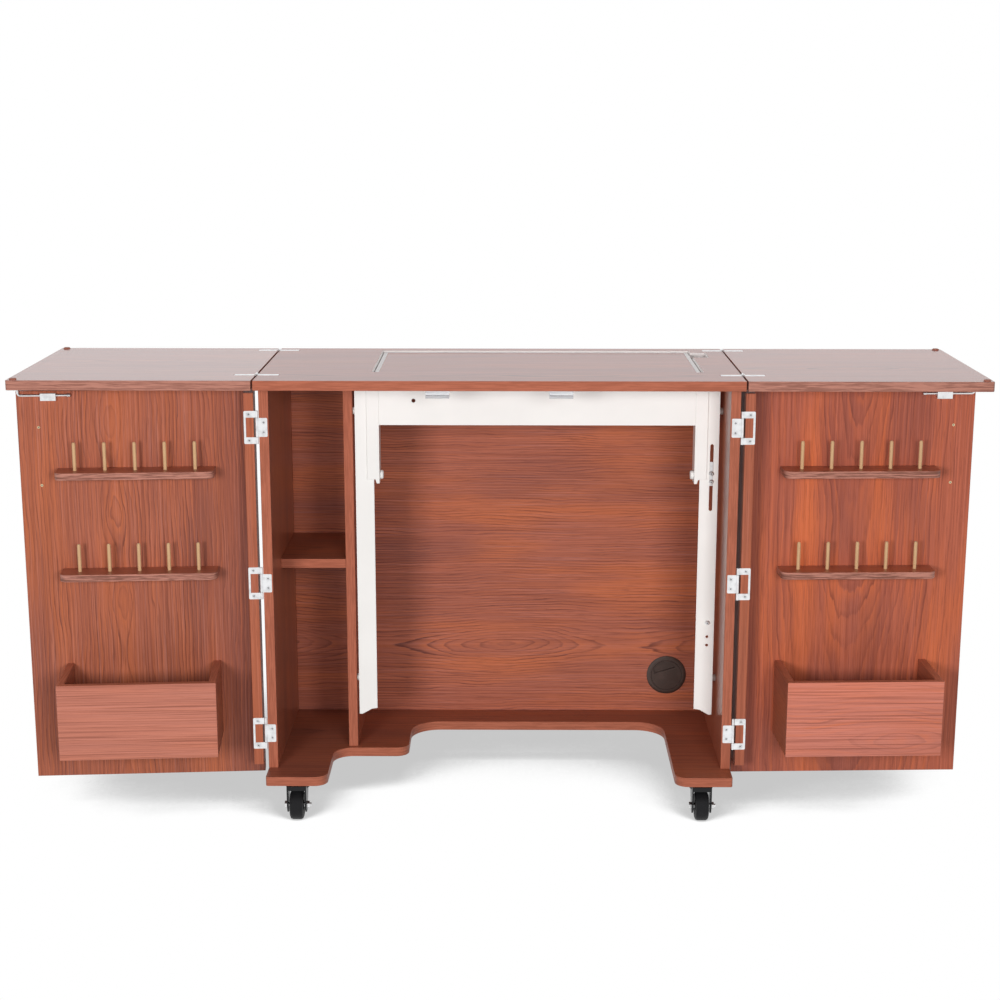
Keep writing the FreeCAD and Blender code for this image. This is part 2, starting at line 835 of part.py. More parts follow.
def bin_boards(side):
    low = "door_bottom + bin_rise"
    front_face = "panel_face - bin_depth"
    behind = "bin_depth - bin_board"
    inside = "panel_face - (" + behind + ")"
    front = door_board(side, "bin_start", "bin_length", front_face, "bin_board", low, "bin_height")
    on_door(side, "bin_front", front)
    ends = []
    for start in ("bin_start", "bin_start + bin_length - bin_board"):
        ends.append(door_board(side, start, "bin_board", inside, behind, low, "bin_height"))
    floor = door_board(side, "bin_start + bin_board", "bin_length - 2 * bin_board", inside, behind,
                       low, "bin_board")
    on_door(side, "bin_tray", floor, *ends)


def pull_handle(side):
    """A bowed bar on the outside of the door, held by two screws through the panel."""
    sign = "-" if side == "left" else ""
    x = sign + "handle_place"
    high = "handle_low + handle_centres"
    grip = "panel_back + handle_out"
    corner = grip + " - handle_bend"
    outwards = Rotation(Vector(1, 1, 1), FULL_TURN / 3)
    lower_turn = outwards.multiply(Rotation(Vector(0, 0, 1), -QUARTER))
    leg = "handle_out - handle_bend"
    handle = fuse(
        bar((x, "panel_back", "handle_low"), "handle_radius", leg, "y"),
        bar((x, "panel_back", high), "handle_radius", leg, "y"),
        bend((x, corner, "handle_low + handle_bend"), "handle_bend", "handle_radius", lower_turn),
        bend((x, corner, high + " - handle_bend"), "handle_bend", "handle_radius", outwards),
        bar((x, grip, "handle_low + handle_bend"), "handle_radius",
            "handle_centres - 2 * handle_bend", "z"),
    )
    screws = []
    for level in ("handle_low", high):
        head = bar((x, "panel_face - handle_screw_height", level), "handle_screw_head",
                   "handle_screw_height", "y")
        shank = bar((x, "panel_face", level), "handle_screw_shank", "board", "y")
        screws.append(fuse(head, shank))
    on_door(side, "door_handle", handle, *screws)


def lock_rod(side):
    """A bent rod along the top of the door, sliding in a saddle, with its end turned up."""
    length = "rod_length - rod_bend"
    start = "rod_tip - rod_length"
    left = across(side, start, length)
    tip = "rod_tip" if side == "right" else "-rod_tip"
    bend_x = "rod_tip - rod_bend" if side == "right" else "-rod_tip + rod_bend"
    knob_left = across(side, start, "rod_knob_length")
    upright = Rotation(Vector(1, 0, 0), QUARTER)
    turn = upright.multiply(Rotation(Vector(0, 0, 1), -QUARTER if side == "right" else HALF_TURN))
    rise = "table_under - rod_clear - rod_radius - rod_height - rod_bend"
    rod = fuse(
        bar((left, "rod_front", "rod_height"), "rod_radius", length, "x"),
        bar((knob_left, "rod_front", "rod_height"), "rod_knob", "rod_knob_length", "x"),
        bend((bend_x, "rod_front", "rod_height + rod_bend"), "rod_bend", "rod_radius", turn),
        bar((tip, "rod_front", "rod_height + rod_bend"), "rod_radius", rise, "z"),
        ball((tip, "rod_front", "rod_height + rod_bend + " + rise), "rod_radius"),
    )
    on_door(side, "lock_rod", rod)
    saddle_start = "door_end - saddle_inset - saddle_length"
    saddle = door_board(side, saddle_start, "saddle_length", "panel_face - saddle_depth", "saddle_depth",
                        "rod_height + saddle_rise - saddle_height", "saddle_height")
    through = "saddle_length + 2 * overrun"
    bore_left = across(side, saddle_start + " - overrun", through)
    bore = bar((bore_left, "rod_front", "rod_height"), "rod_radius + saddle_bore_gap", through, "x")
    on_door(side, "rod_saddle", cut(saddle, bore))


# Lift: a steel angle post each side, carriages that wrap them, an apron and a platform.

def post(side):
    """An angle held off its board by two bosses, its face sloping up at the foot."""
    outer = side + "_post"
    inward = " + " if side == "left" else " - "
    height = "table_under - post_foot"
    ramp = "foot_flat + foot_run"
    outline = [
        (outer, "table_under"),
        (outer, "post_foot"),
        (outer + inward + "foot_flat", "post_foot"),
        (outer + inward + "(" + ramp + ")", "post_foot + foot_slope"),
        (outer + inward + "post_width", "post_foot + foot_slope + foot_tip"),
        (outer + inward + "post_width", "table_under"),
    ]
    face = put(plate(outline, "post_wall", role="XZ_Plane"), ("0", "post_front + post_wall", "0"))
    web_left = outer if side == "left" else outer + " - post_wall"
    web = block((web_left, "post_front", "post_foot"), ("post_wall", "post_depth", height))
    seat = "partition_right" if side == "left" else outer
    bosses = []
    for rise in ("post_foot + boss_inset", "table_under - boss_inset"):
        place = (seat, "bay_front + boss_back", rise)
        bosses.append(bar(place, "boss_radius", side + "_standoff", "x"))
    angle = fuse(face, web, *bosses)
    if side == "right":
        angle = cut(angle, *post_holes())
    node("lift_post_" + side, angle)


def post_holes():
    """The slot for the lock and two spare holes in the front of the right post."""
    front = "post_front - overrun"
    through = "post_wall + 2 * overrun"
    low = "slot_foot + slot_width / 2"
    high = "slot_foot + slot_length - slot_width / 2"
    holes = [
        block(("slot_middle - slot_width / 2", front, low),
              ("slot_width", through, "slot_length - slot_width")),
        bar(("slot_middle", front, low), "slot_width / 2", through, "y"),
        bar(("slot_middle", front, high), "slot_width / 2", through, "y"),
    ]
    for step in (0, 1):
        rise = "post_foot + spare_hole_rise - %d * spare_hole_pitch" % step
        holes.append(bar(("slot_middle", front, rise), "spare_hole", through, "y"))
    return holes


def domed_bolt(rise):
    """The head of a bolt on the front of the right post."""
    head = turned([
        ("0", "0"),
        ("bolt_radius", "0"),
        ("bolt_radius", "bolt_height / 2"),
        ("bolt_crown", "bolt_height"),
        ("0", "bolt_height"),
    ])
    return put(head, ("slot_middle", "post_front", rise), Rotation(Vector(1, 0, 0), QUARTER))


def lift_lock():
    """A tongue in the slot under two bolt heads, and a stop bolt below."""
    foot = "slot_foot + tongue_rise"
    tongue = block(
        ("slot_middle - slot_width / 2 + tongue_gap", "post_front", foot),
        ("slot_width - 2 * tongue_gap", "post_wall", "tongue_height"),
    )
    lower = foot + " + bolt_rise"
    rises = (lower, lower + " + bolt_pitch", "post_foot + stop_bolt_rise")
    node("lift_lock", group(tongue, *[domed_bolt(rise) for rise in rises]))


def carriage(side):
    """A web with two flanges round the post; each flange ends in a lug at its inner corner."""
    sign = "-" if side == "left" else "+"
    inner = "web_left + carriage_wall" if side == "left" else "web_right - carriage_wall"
    outer = inner + " %s flange_width" % sign
    lug = inner + " %s lug_width" % sign
    outline = [
        (inner, "carriage_foot"),
        (inner, "platform_under"),
        (outer, "platform_under"),
        (outer, "carriage_foot + lug_height"),
        (lug + " %s lug_slope" % sign, "carriage_foot + lug_height"),
        (lug, "carriage_foot"),
    ]
    pieces = []
    for back in ("flange_front + carriage_wall", "flange_back"):
        pieces.append(put(plate(outline, "carriage_wall", role="XZ_Plane"), ("0", back, "0")))
    web_left = "web_left" if side == "left" else inner
    depth = "flange_back - flange_front"
    web = block((web_left, "flange_front", "carriage_foot"), ("carriage_wall", depth, "carriage_length"))
    return fuse(web, *pieces)


def glide(side, rise):
    left = "web_left - glide_length" if side == "left" else "web_right"
    front = "post_front + post_wall + glide_gap"
    depth = "flange_back - carriage_wall - (" + front + ")"
    return block((left, front, "carriage_foot + " + rise), ("glide_length", depth, "glide_height"))


def knob(side):
    inside = "web_left + carriage_wall" if side == "left" else "web_right - carriage_wall"
    turn = ALONG["x"] if side == "left" else Rotation(Vector(0, 1, 0), -QUARTER)
    piece = turned([
        ("0", "0"),
        ("knob_radius", "0"),
        ("knob_radius", "knob_shoulder"),
        ("knob_face", "knob_length"),
        ("0", "knob_length"),
    ])
    place = (inside, "flange_front + knob_back", "carriage_foot + knob_rise")
    return put(piece, place, turn)


def lift():
    for side in SIDES:
        post(side)
    lift_lock()
    node("lift_carriages", group(*[carriage(side) for side in SIDES]))
    glides = [glide(side, rise) for side in SIDES for rise in ("lower_glide", "upper_glide")]
    node("lift_glides", group(*glides))
    node("lift_knobs", group(*[knob(side) for side in SIDES]))
    left = "web_left + carriage_wall"
    length = "web_right - web_left - 2 * carriage_wall"
    apron = block((left, "flange_front", "platform_under - apron_height"),
                  (length, "carriage_wall", "apron_height"))
    ledge = block((left, "flange_front", "platform_under - carriage_wall"),
                  (length, "apron_ledge", "carriage_wall"))
    hole = bar((left + " + apron_hole_inset", "flange_front - overrun", "platform_under - apron_hole_drop"),
               "apron_hole", "carriage_wall + 2 * overrun", "y")
    node("lift_apron", cut(fuse(apron, ledge), hole))
    width = "opening_right - opening_left - 2 * platform_gap"
    depth = "opening_back - opening_front - 2 * platform_gap"
    corner = ("opening_left + platform_gap", "opening_front + platform_gap", "platform_under")
    node("platform", block(corner, (width, depth, "board")))


# Casters: a fixed plate with a king pin, a swivelling fork, an axle and a wheel.

CORNERS = {
    "front_left": ("-side_out + caster_in", "base_front + caster_in"),
    "front_right": ("side_out - caster_in", "base_front + caster_in"),
    "rear_left": ("-side_out + caster_in", "carcass_back - caster_in"),
    "rear_right": ("side_out - caster_in", "carcass_back - caster_in"),
}


def caster_plates():
    plates = []
    for x, y in CORNERS.values():
        half = "plate_size / 2"
        flat = block((x + " - " + half, y + " - " + half, "caster_height - plate_thick"),
                     ("plate_size", "plate_size", "plate_thick"))
        race_low = "fork_height + race_gap"
        race = bar((x, y, race_low), "race_radius", "caster_height - (" + race_low + ")", "z")
        pin_low = "fork_height - fork_crown"
        pin = bar((x, y, pin_low), "king_pin", "caster_height - (" + pin_low + ")", "z")
        plates.append(fuse(flat, race, pin))
    node("caster_plates", group(*plates))


def fork():
    """A crown round the king pin, and two cheeks that reach forward to the axle."""
    crown_low = "fork_height - fork_crown"
    half = "fork_width / 2"
    outline = [
        ("cheek_front", "fork_height"),
        ("-trail - cheek_front", "fork_height"),
        ("-trail - cheek_front", "wheel_radius"),
        ("-trail - axle_nut", "wheel_radius - cheek_front"),
        ("-trail + axle_nut", "wheel_radius - cheek_front"),
        ("cheek_front", "fork_height - cheek_front"),
    ]
    cheeks = []
    for left in ("-" + half + " - fork_wall", half):
        cheek = plate(outline, "fork_wall", (("cheek_round", (2, 3, 4)),), role="YZ_Plane")
        cheeks.append(put(cheek, (left, "0", "0")))
    crown = block(("-" + half, "-trail - cheek_front", crown_low),
                  ("fork_width", "trail + 2 * cheek_front", "fork_crown"))
    ring = bar(("0", "0", crown_low), "race_radius", "fork_crown", "z")
    bore = bar(("0", "0", crown_low + " - overrun"), "king_pin + running_gap",
               "fork_crown + 2 * overrun", "z")
    axle_hole = bar(("-fork_width / 2 - fork_wall - overrun", "-trail", "wheel_radius"), "axle_radius",
                    "fork_width + 2 * fork_wall + 2 * overrun", "x")
    return cut(fuse(crown, ring, *cheeks), bore, axle_hole)


def axle():
    """A bolt through the fork: its head on the left, a nut and the end of the thread on the right."""
    span = "fork_width + 2 * fork_wall"
    right = "(" + span + ") / 2"
    left = "-" + right
    middle = ("-trail", "wheel_radius")
    return fuse(
        bar((left, *middle), "axle_radius", span, "x"),
        hexagon((left + " - axle_nut_thick", *middle), "axle_nut", "axle_nut_thick", "x"),
        hexagon((right, *middle), "axle_nut", "axle_nut_thick", "x"),
        bar((right, *middle), "axle_end", "axle_nut_thick + axle_end_length", "x"),
    )


def wheel():
    half = "wheel_width / 2"
    bore = "axle_radius + running_gap"
    arc = "%g * tread_round" % ARC_SHARE
    rim = [
        ("hub_radius", half + " - hub_dish"),
        ("wheel_radius - tread_round", half),
        ("wheel_radius - " + arc, half + " - " + arc),
        ("wheel_radius", half + " - tread_round"),
    ]
    profile = [(bore, half), *rim]
    mirrored = [(radius, "-(" + height + ")") for radius, height in profile]
    outline = profile + mirrored[::-1]
    return put(turned(outline), ("0", "-trail", "wheel_radius"), ALONG["x"])


def casters():
    caster_plates()
    for corner, (x, y) in CORNERS.items():
        for name, make in (("caster_fork_", fork), ("caster_axle_", axle), ("caster_wheel_", wheel)):
            node(name + corner, put(group(make()), (x, y, "0")))


carcass()
grommet()
leaf_hinge_plates()
hinge_tabs()
for hand in SIDES:
    folding_leaf(hand)
    door(hand)
lift()
casters()
doc.recompute()

# Every object has to be sound before anything is written.
for thing in doc.Objects:
    if "Invalid" in thing.State or "Error" in thing.State:
        raise RuntimeError("%s failed: %s" % (thing.Label, thing.State))
for piece in NODES:
    if piece.Shape.isNull() or not piece.Shape.isValid() or not piece.Shape.Solids:
        raise RuntimeError("%s has no sound shape" % piece.Label)

os.makedirs("parts", exist_ok=True)
for piece in NODES:
    piece.Shape.exportStep("parts/%s.step" % piece.Label)
print("%d pieces, %d solids" % (len(NODES), sum(len(piece.Shape.Solids) for piece in NODES)))
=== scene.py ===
"""Looks of the fold-away sewing cabinet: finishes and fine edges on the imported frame.

Lengths are in metres, in the part's own frame: +X to the right, +Y to the back, +Z up.
"""

import json
import math

import bmesh
import bpy
from mathutils import Matrix, Quaternion, Vector

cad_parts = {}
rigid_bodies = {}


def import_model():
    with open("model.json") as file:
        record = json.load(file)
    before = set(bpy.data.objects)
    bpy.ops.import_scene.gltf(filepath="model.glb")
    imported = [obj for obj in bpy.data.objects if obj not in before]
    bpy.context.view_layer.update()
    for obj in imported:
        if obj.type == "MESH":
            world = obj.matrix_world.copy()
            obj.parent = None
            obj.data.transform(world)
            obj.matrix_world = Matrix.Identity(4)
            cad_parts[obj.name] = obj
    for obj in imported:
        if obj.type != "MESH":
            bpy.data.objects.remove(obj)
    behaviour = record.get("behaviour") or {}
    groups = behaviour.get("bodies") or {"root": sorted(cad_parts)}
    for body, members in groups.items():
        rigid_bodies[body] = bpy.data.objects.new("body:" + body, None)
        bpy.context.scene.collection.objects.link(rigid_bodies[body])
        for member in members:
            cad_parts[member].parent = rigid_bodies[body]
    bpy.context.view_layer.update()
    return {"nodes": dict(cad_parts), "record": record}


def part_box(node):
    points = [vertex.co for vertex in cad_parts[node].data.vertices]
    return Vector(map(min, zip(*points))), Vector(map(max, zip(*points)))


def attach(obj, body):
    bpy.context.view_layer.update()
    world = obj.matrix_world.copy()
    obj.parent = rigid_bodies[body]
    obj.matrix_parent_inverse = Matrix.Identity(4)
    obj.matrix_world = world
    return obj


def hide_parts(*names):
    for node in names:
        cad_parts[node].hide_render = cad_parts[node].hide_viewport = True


AXES = {"X": 0, "Y": 1, "Z": 2}
SIDES = ("left", "right")

# The photograph's camera
SENSOR_MM = 36.0
PHOTO_PIXELS = 1000
FOCAL_PIXELS = 1901.7
OPTICAL_CENTRE_Y = 560
CAMERA_PLACE = (0.0180, -3.1773, 1.1879)
CAMERA_PITCH = math.radians(13.70)
CAMERA_YAW = math.radians(0.321)
CAMERA_ROLL = math.radians(0.046)

# Studio
FLOOR_SIZE = 40.0
FLOOR_BOUNCE = 0.30
FLOOR_FACING = (0.0, -0.80, 0.60)     # up and towards the front: the way the floor's painted shadow looks for occlusion
FLOOR_SHADE_REACH = 1.1
FLOOR_SHADE_SAMPLES = 32
FLOOR_SHADE_RANGE = (0.56, 0.70)      # openness at which the painted shadow is deepest, and where it fades out
FLOOR_SHADE_LEVELS = (0.57, 1.0)
SKY_COLOUR = (1.0, 1.0, 1.0, 1.0)
SKY_SOFT = 0.16
SKY_WHITE = 1.0
LAMP_AIM = (0.0, 0.0, 0.42)
# name: place, size and power
LAMPS = {
    "key": ((-1.25, -3.40, 1.05), 0.8, 60),
    "fill": ((0.80, -3.40, 1.10), 1.0, 55),
    "overhead": ((0.0, 0.35, 3.30), 2.2, 13),
    "rear_left": ((-3.20, 2.60, 1.40), 1.6, 46),
    "rear_right": ((3.20, 2.60, 1.40), 1.6, 46),
}

# Mesh work
MERGE_DISTANCE = 2e-6
FLAT_ANGLE = math.radians(0.6)
BEVEL_ANGLE = math.radians(38)
BEVEL_SEGMENTS = 2
EVEN_WEIGHT = 100
FACE_ALIGN = 0.9

# Rounding of the edges by kind of piece
BOARD_ROUND = 0.0008
SHEET_ROUND = 0.0009
LEAF_ROUND = 0.00025
CAST_ROUND = 0.0004

# Places of the materials of a board and of a screwed piece
FACE_INDEX = 0
EDGE_INDEX = 1
LINING_INDEX = 2
RECESS_INDEX = 1

# Flat round screw heads: span of their radius, least corners, evenness of the rim, and the turn from
# one screw to the next
SCREW_RADII = (0.0019, 0.0029)
SCREW_CORNERS = 12
SCREW_ROUNDNESS = 0.0001
SCREW_TURN = 0.7

# Cross recess of a screw head, as shares of the head's radius; the pit is a share of the outline
CROSS_ARMS = 4
CROSS_ARM_SHARE = 0.66
CROSS_HALF_WIDTH_SHARE = 0.19
CROSS_DEPTH_SHARE = 0.45
CROSS_PIT_SHARE = 0.55

# Pale edging of the lift opening and of the platform: the clear gap between the two, the flange on a
# board and its rise, the liner down the board's edge and its drop
LIFT_GAP = 0.005
LIP_FLANGE = 0.005
LIP_RISE = 0.0004
LIP_LINER = 0.0017
LIP_DROP = 0.0155
LINER_ON_LEFT = 1
LINER_ON_RIGHT = -1

# Cable notch of the lift opening, and its distance from the opening's back
NOTCH_LENGTH = 0.060
NOTCH_DEPTH = 0.027
NOTCH_BACK = 0.025

# Noise in general, and the levels of a step that goes down
NOISE_DETAIL = 3.0
NOISE_ROUGHNESS = 0.55
NOISE_MIDDLE = 0.5
FALLING = (1.0, 0.0)

# Sockets of a colour mix
MIX_SHARE = 0
MIX_FIRST = 6
MIX_SECOND = 7
MIX_RESULT = 2

# Wood colours, linear
WOOD = {
    "light": (0.400, 0.122, 0.068),
    "deep": (0.310, 0.090, 0.050),
    "glow": (0.520, 0.140, 0.050),
    "line": (0.115, 0.033, 0.023),
    # smoke is the wood's own smoky figure, and also the colour of the painted shade towards a door's
    # hinge
    "smoke": (0.130, 0.047, 0.042),
    "pale": (0.540, 0.235, 0.185),
}
EDGE_LIGHT = (0.432, 0.135, 0.078)
EDGE_DEEP = (0.330, 0.098, 0.055)
LEAF_EDGE_LIGHT = (0.460, 0.205, 0.153)
LEAF_EDGE_DEEP = (0.270, 0.112, 0.082)
RACK_EDGE_LIGHT = (0.490, 0.216, 0.162)
RACK_EDGE_DEEP = (0.200, 0.078, 0.055)

# The wood's patterns: repeats a metre along the grain and across it, detail and roughness of the noise
FIBRE = (3.0, 290.0, 2.0, 0.60)
STREAK = (4.0, 620.0, 1.0, 0.60)
PORE = (24.0, 820.0, 2.0, 0.55)
CLOUD = (1.6, 9.0, 3.0, 0.55)
EMBER = (2.4, 17.0, 3.0, 0.55)
WANDER = (3.4, 11.0, 3.0, 0.55)
RAGGED = (14.0, 150.0, 4.0, 0.55)
FADE = (9.0, 24.0, 3.0, 0.55)
EDGE_FINE = (32.0, 600.0, 3.0, 0.60)
EDGE_BROAD = (5.0, 420.0, 2.0, 0.55)

# What sets one pattern of a board off from another of the same board
STREAK_SEED = 1.0
EMBER_SEED = 2.0
FADE_SEED = 0.5

# Where a pattern's noise sets in and where it is full
FIBRE_SPAN = (0.32, 0.68)
EMBER_SPAN = (0.42, 0.66)
SMOKE_SPAN = (0.46, 0.72)
PALE_SPAN = (0.52, 0.72)
STREAK_SPAN = (0.48, 0.28)
PORE_SPAN = (0.55, 0.68)
FADE_SPAN = (0.34, 0.62)
FADE_LEVELS = (0.35, 1.0)
EDGE_SPAN = (0.42, 0.57)

# Growth rings: spans are shares of one ring
EARLY_SPAN = (0.05, 0.50)
LINE_RISE_SPAN = (0.60, 0.92)
LINE_FALL_SPAN = (0.92, 1.0)
RAGGED_SHARE = 0.75
EARLY_GLOW_SHARE = 0.55
WANDER_SIZE = 0.034
RING_SLIP = 3.0
EYE_BLUNTNESS = 0.006

# Painted shade on the hinge side of a door: the wander of its edge and its strength
PAINTED_SHADE_WANDER = 0.12
PAINTED_SHADE_STRENGTH = 0.62

# Surface of the laminate and of its edge banding
WOOD_ROUGHNESS = 0.31
WOOD_ROUGHNESS_SPREAD = 0.18
WOOD_SPECULAR = 0.24
GLOSS_SPECULAR = 0.24
GLOSS_COAT = 0.45
GLOSS_COAT_ROUGHNESS = 0.14
WOOD_BUMP = 0.26
WOOD_BUMP_DEPTH = 0.00018
WOOD_MARK_DEPTH_SHARE = 1.6
EDGE_BROAD_SHARE = 0.40
EDGE_FINE_SHARE = 0.60
EDGE_ROUGHNESS = 0.36
EDGE_ROUGHNESS_SPREAD = 0.15
EDGE_SPECULAR = 0.30
EDGE_BUMP = 0.16

# Pale plastic edging
PALE_EDGE = (0.860, 0.800, 0.785)
PALE_EDGE_SHADE_SHARE = 0.93
PALE_EDGE_SCALES = (60.0, 60.0, 400.0)
PALE_EDGE_ROUGHNESS = 0.28
PALE_EDGE_SPECULAR = 0.7

# Powder coat
PEEL_SCALE = 520.0
PEEL_DETAIL = 2.0
PEEL_BUMP = 0.10
PEEL_DEPTH = 0.0002
ENAMEL_CLOUD_SCALE = 7.0
ENAMEL_CLOUD_SPAN = (0.35, 0.70)
ENAMEL_SHADE_SHARE = 0.955
ENAMEL_ROUGHNESS_SPREAD = 0.12

# Bare metal
ROLLING_SCALE = 900.0
ROLLING_NOISE_ROUGHNESS = 0.6
ROLLING_BUMP = 0.06
ROLLING_DEPTH = 0.0001
ROLLING_ROUGHNESS_SPREAD = 0.08
SMUDGE_SCALE = 90.0
SMUDGE_SPAN = (0.40, 0.72)
SMUDGE_SHADE_SHARE = 0.82
SMUDGE_ROUGHNESS_SPREAD = 0.22
POLISH = 0.08

# Moulded plastic and rubber
SKIN_DETAIL = 2.0
SKIN_BUMP = 0.16
SKIN_DEPTH = 0.0002
WEAR_SCALE = 45.0
WEAR_SPAN = (0.45, 0.80)
WEAR_SHARE = 1.35
WEAR_LIFT = 0.004
WEAR_ROUGHNESS_SPREAD = 0.18
WEAR_SHINE = 0.06

# Clear plastic
HAZE_SCALE = 140.0
HAZE_COLOURS = ((0.90, 0.93, 0.97), (0.97, 0.98, 1.0))
CLEAR_ROUGHNESS = 0.06
HAZE_ROUGHNESS_SPREAD = 0.12
CLEAR_IOR = 1.53
CLEAR_TRANSMISSION = 0.60

# Beech dowel
BEECH_FIBRE_SCALES = (700.0, 700.0, 45.0)
BEECH_FLECK_SCALES = (1400.0, 1400.0, 240.0)
BEECH_FLECK_DETAIL = 1.0
BEECH_FLECK_SPAN = (0.62, 0.75)
BEECH_FLECK_LEVELS = (0.0, 0.5)
BEECH_COLOURS = ((0.520, 0.310, 0.155), (0.680, 0.450, 0.250))
BEECH_FLECK_COLOUR = (0.330, 0.170, 0.080)
BEECH_ROUGHNESS = 0.45
BEECH_BUMP = 0.15
BEECH_BUMP_DEPTH = 0.0001

for item in list(bpy.data.objects):
    bpy.data.objects.remove(item)

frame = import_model()

scene = bpy.context.scene
scene.view_settings.view_transform = "Standard"
NODES = frame["nodes"]
BODY_OF = {n: b for b, members in frame["record"]["behaviour"]["bodies"].items() for n in members}
SLOT_OF = {name: node.data.materials[0].name for name, node in NODES.items()}


class Shader:
    """One material's node tree, built from the coordinates on to the surface."""

    def __init__(self, name):
        self.material = bpy.data.materials.new(name)
        self.material.use_nodes = True
        self.tree = self.material.node_tree
        self.tree.nodes.clear()
        place = self.add("ShaderNodeTexCoord").outputs["Object"]
        split = self.add("ShaderNodeSeparateXYZ", {"Vector": place})
        self.axes = [split.outputs[axis] for axis in AXES]

    def add(self, kind, inputs=None, **settings):
        """A new node with its settings made and its inputs linked or set."""
        node = self.tree.nodes.new(kind)
        for key, value in settings.items():
            setattr(node, key, value)
        for key, value in (inputs or {}).items():
            if isinstance(value, bpy.types.NodeSocket):
                self.tree.links.new(value, node.inputs[key])
            else:
                node.inputs[key].default_value = value
        return node

    def math(self, operation, *values):
        """The result of one sum on numbers or sockets."""
        return self.add("ShaderNodeMath", dict(enumerate(values)), operation=operation).outputs[0]

    def squared(self, value):
        """A value times itself."""
        return self.math("POWER", value, 2.0)

    def uneven(self, pattern, base, spread):
        """A number that rises from its base with a pattern."""
        return self.math("MULTIPLY_ADD", pattern, spread, base)

    def stretched(self, scales, seed=0.0):
        """The place with each axis scaled, so that a pattern is long where its scale is low."""
        parts = [self.math("MULTIPLY_ADD", a, s, seed) for a, s in zip(self.axes, scales)]
        return self.add("ShaderNodeCombineXYZ", dict(enumerate(parts))).outputs[0]

    def noise(self, vector, detail=NOISE_DETAIL, roughness=NOISE_ROUGHNESS):
        """Smooth noise from 0 to 1 at a stretched place."""
        inputs = {"Vector": vector, "Scale": 1.0, "Detail": detail, "Roughness": roughness}
        return self.add("ShaderNodeTexNoise", inputs).outputs["Fac"]

    def even_noise(self, scale, detail=NOISE_DETAIL, roughness=NOISE_ROUGHNESS):
        """Smooth noise of one scale on all axes."""
        return self.noise(self.stretched((scale,) * len(AXES)), detail, roughness)

    def ease(self, value, low, high, out_low=0.0, out_high=1.0):
        """A smooth step of value from low to high."""
        inputs = {"Value": value, "From Min": low, "From Max": high}
        inputs.update({"To Min": out_low, "To Max": out_high})
        node = self.add("ShaderNodeMapRange", inputs, interpolation_type="SMOOTHSTEP")
        return node.outputs[0]

    def share(self, pattern, span, strength):
        """How strongly a pattern shows: a smooth step over its span, up to a strength."""
        return self.math("MULTIPLY", self.ease(pattern, *span), strength)

    def blend(self, share, first, second):
        """Two colours mixed by a share."""
        node = self.add("ShaderNodeMix", data_type="RGBA", blend_type="MIX")
        for key, value in ((MIX_SHARE, share), (MIX_FIRST, first), (MIX_SECOND, second)):
            if isinstance(value, bpy.types.NodeSocket):
                self.tree.links.new(value, node.inputs[key])
            elif key == MIX_SHARE:
                node.inputs[key].default_value = value
            else:
                node.inputs[key].default_value = (*value, 1.0)
        return node.outputs[MIX_RESULT]

    def bump(self, height, strength, depth):
        """A surface normal from a height pattern."""
        inputs = {"Height": height, "Strength": strength, "Distance": depth}
        return self.add("ShaderNodeBump", inputs).outputs["Normal"]

    def finish(self, **inputs):
        """The surface and the output; a plain value stays on the surface's own socket."""
        named = {key.replace("_", " "): value for key, value in inputs.items()}
        surface = self.add("ShaderNodeBsdfPrincipled", named)
        self.add("ShaderNodeOutputMaterial", {"Surface": surface.outputs[0]})
        return self.material


def grain(shader, across, pattern, seed):
    """Noise drawn out along the grain: it changes fast on the axes across the grain alone."""
    slow, fast, detail, roughness = pattern
    scales = [fast if axis in across else slow for axis in AXES]
    return shader.noise(shader.stretched(scales, seed), detail, roughness)


def growth_rings(shader, along, across, figure, seed):
    """Late-wood lines of a flat-sawn board, 0 to 1, and the bright early wood behind each one."""
    u, v = shader.axes[AXES[along]], shader.axes[AXES[across]]
    wander = shader.math("SUBTRACT", grain(shader, across, WANDER, seed), NOISE_MIDDLE)
    wander = shader.math("MULTIPLY", wander, WANDER_SIZE)
    aside = shader.math("ADD", shader.math("SUBTRACT", v, figure["heart"]), wander)
    run = shader.math("MULTIPLY_ADD", wander, RING_SLIP, u)
    run = shader.math("SUBTRACT", run, figure["eye"])
    wave = shader.math("SINE", shader.math("MULTIPLY", run, math.pi / figure["period"]))
    wave = shader.math("SQRT", shader.math("MULTIPLY_ADD", wave, wave, EYE_BLUNTNESS))
    depth = shader.math("MULTIPLY_ADD", wave, figure["swing"], figure["depth"])
    depth = shader.math("MULTIPLY_ADD", run, figure["tilt"], depth)
    radius = shader.math("SQRT", shader.math("ADD", shader.squared(aside), shader.squared(depth)))
    phase = shader.math("DIVIDE", radius, figure["ring"])
    phase = shader.math("MULTIPLY_ADD", grain(shader, across, RAGGED, seed), RAGGED_SHARE, phase)
    step = shader.math("FRACT", phase)
    rise = shader.ease(step, *LINE_RISE_SPAN)
    line = shader.math("MULTIPLY", rise, shader.ease(step, *LINE_FALL_SPAN, *FALLING))
    index = shader.math("FLOOR", phase)
    bold = shader.add("ShaderNodeTexWhiteNoise", {"W": index}, noise_dimensions="1D").outputs["Value"]
    bold = shader.uneven(shader.squared(bold), figure["even_share"], 1 - figure["even_share"])
    fade = shader.ease(grain(shader, across, FADE, seed + FADE_SEED), *FADE_SPAN, *FADE_LEVELS)
    strength = shader.math("MULTIPLY", bold, fade)
    glow = shader.math("MULTIPLY", shader.ease(step, *EARLY_SPAN, *FALLING), strength)
    return shader.math("MULTIPLY", line, strength), glow


def toned(colour, tone):
    """A colour made lighter, darker or of another hue by one share or by one for each channel."""
    shares = tone if isinstance(tone, tuple) else (tone,) * len(colour)
    return tuple(part * share for part, share in zip(colour, shares))


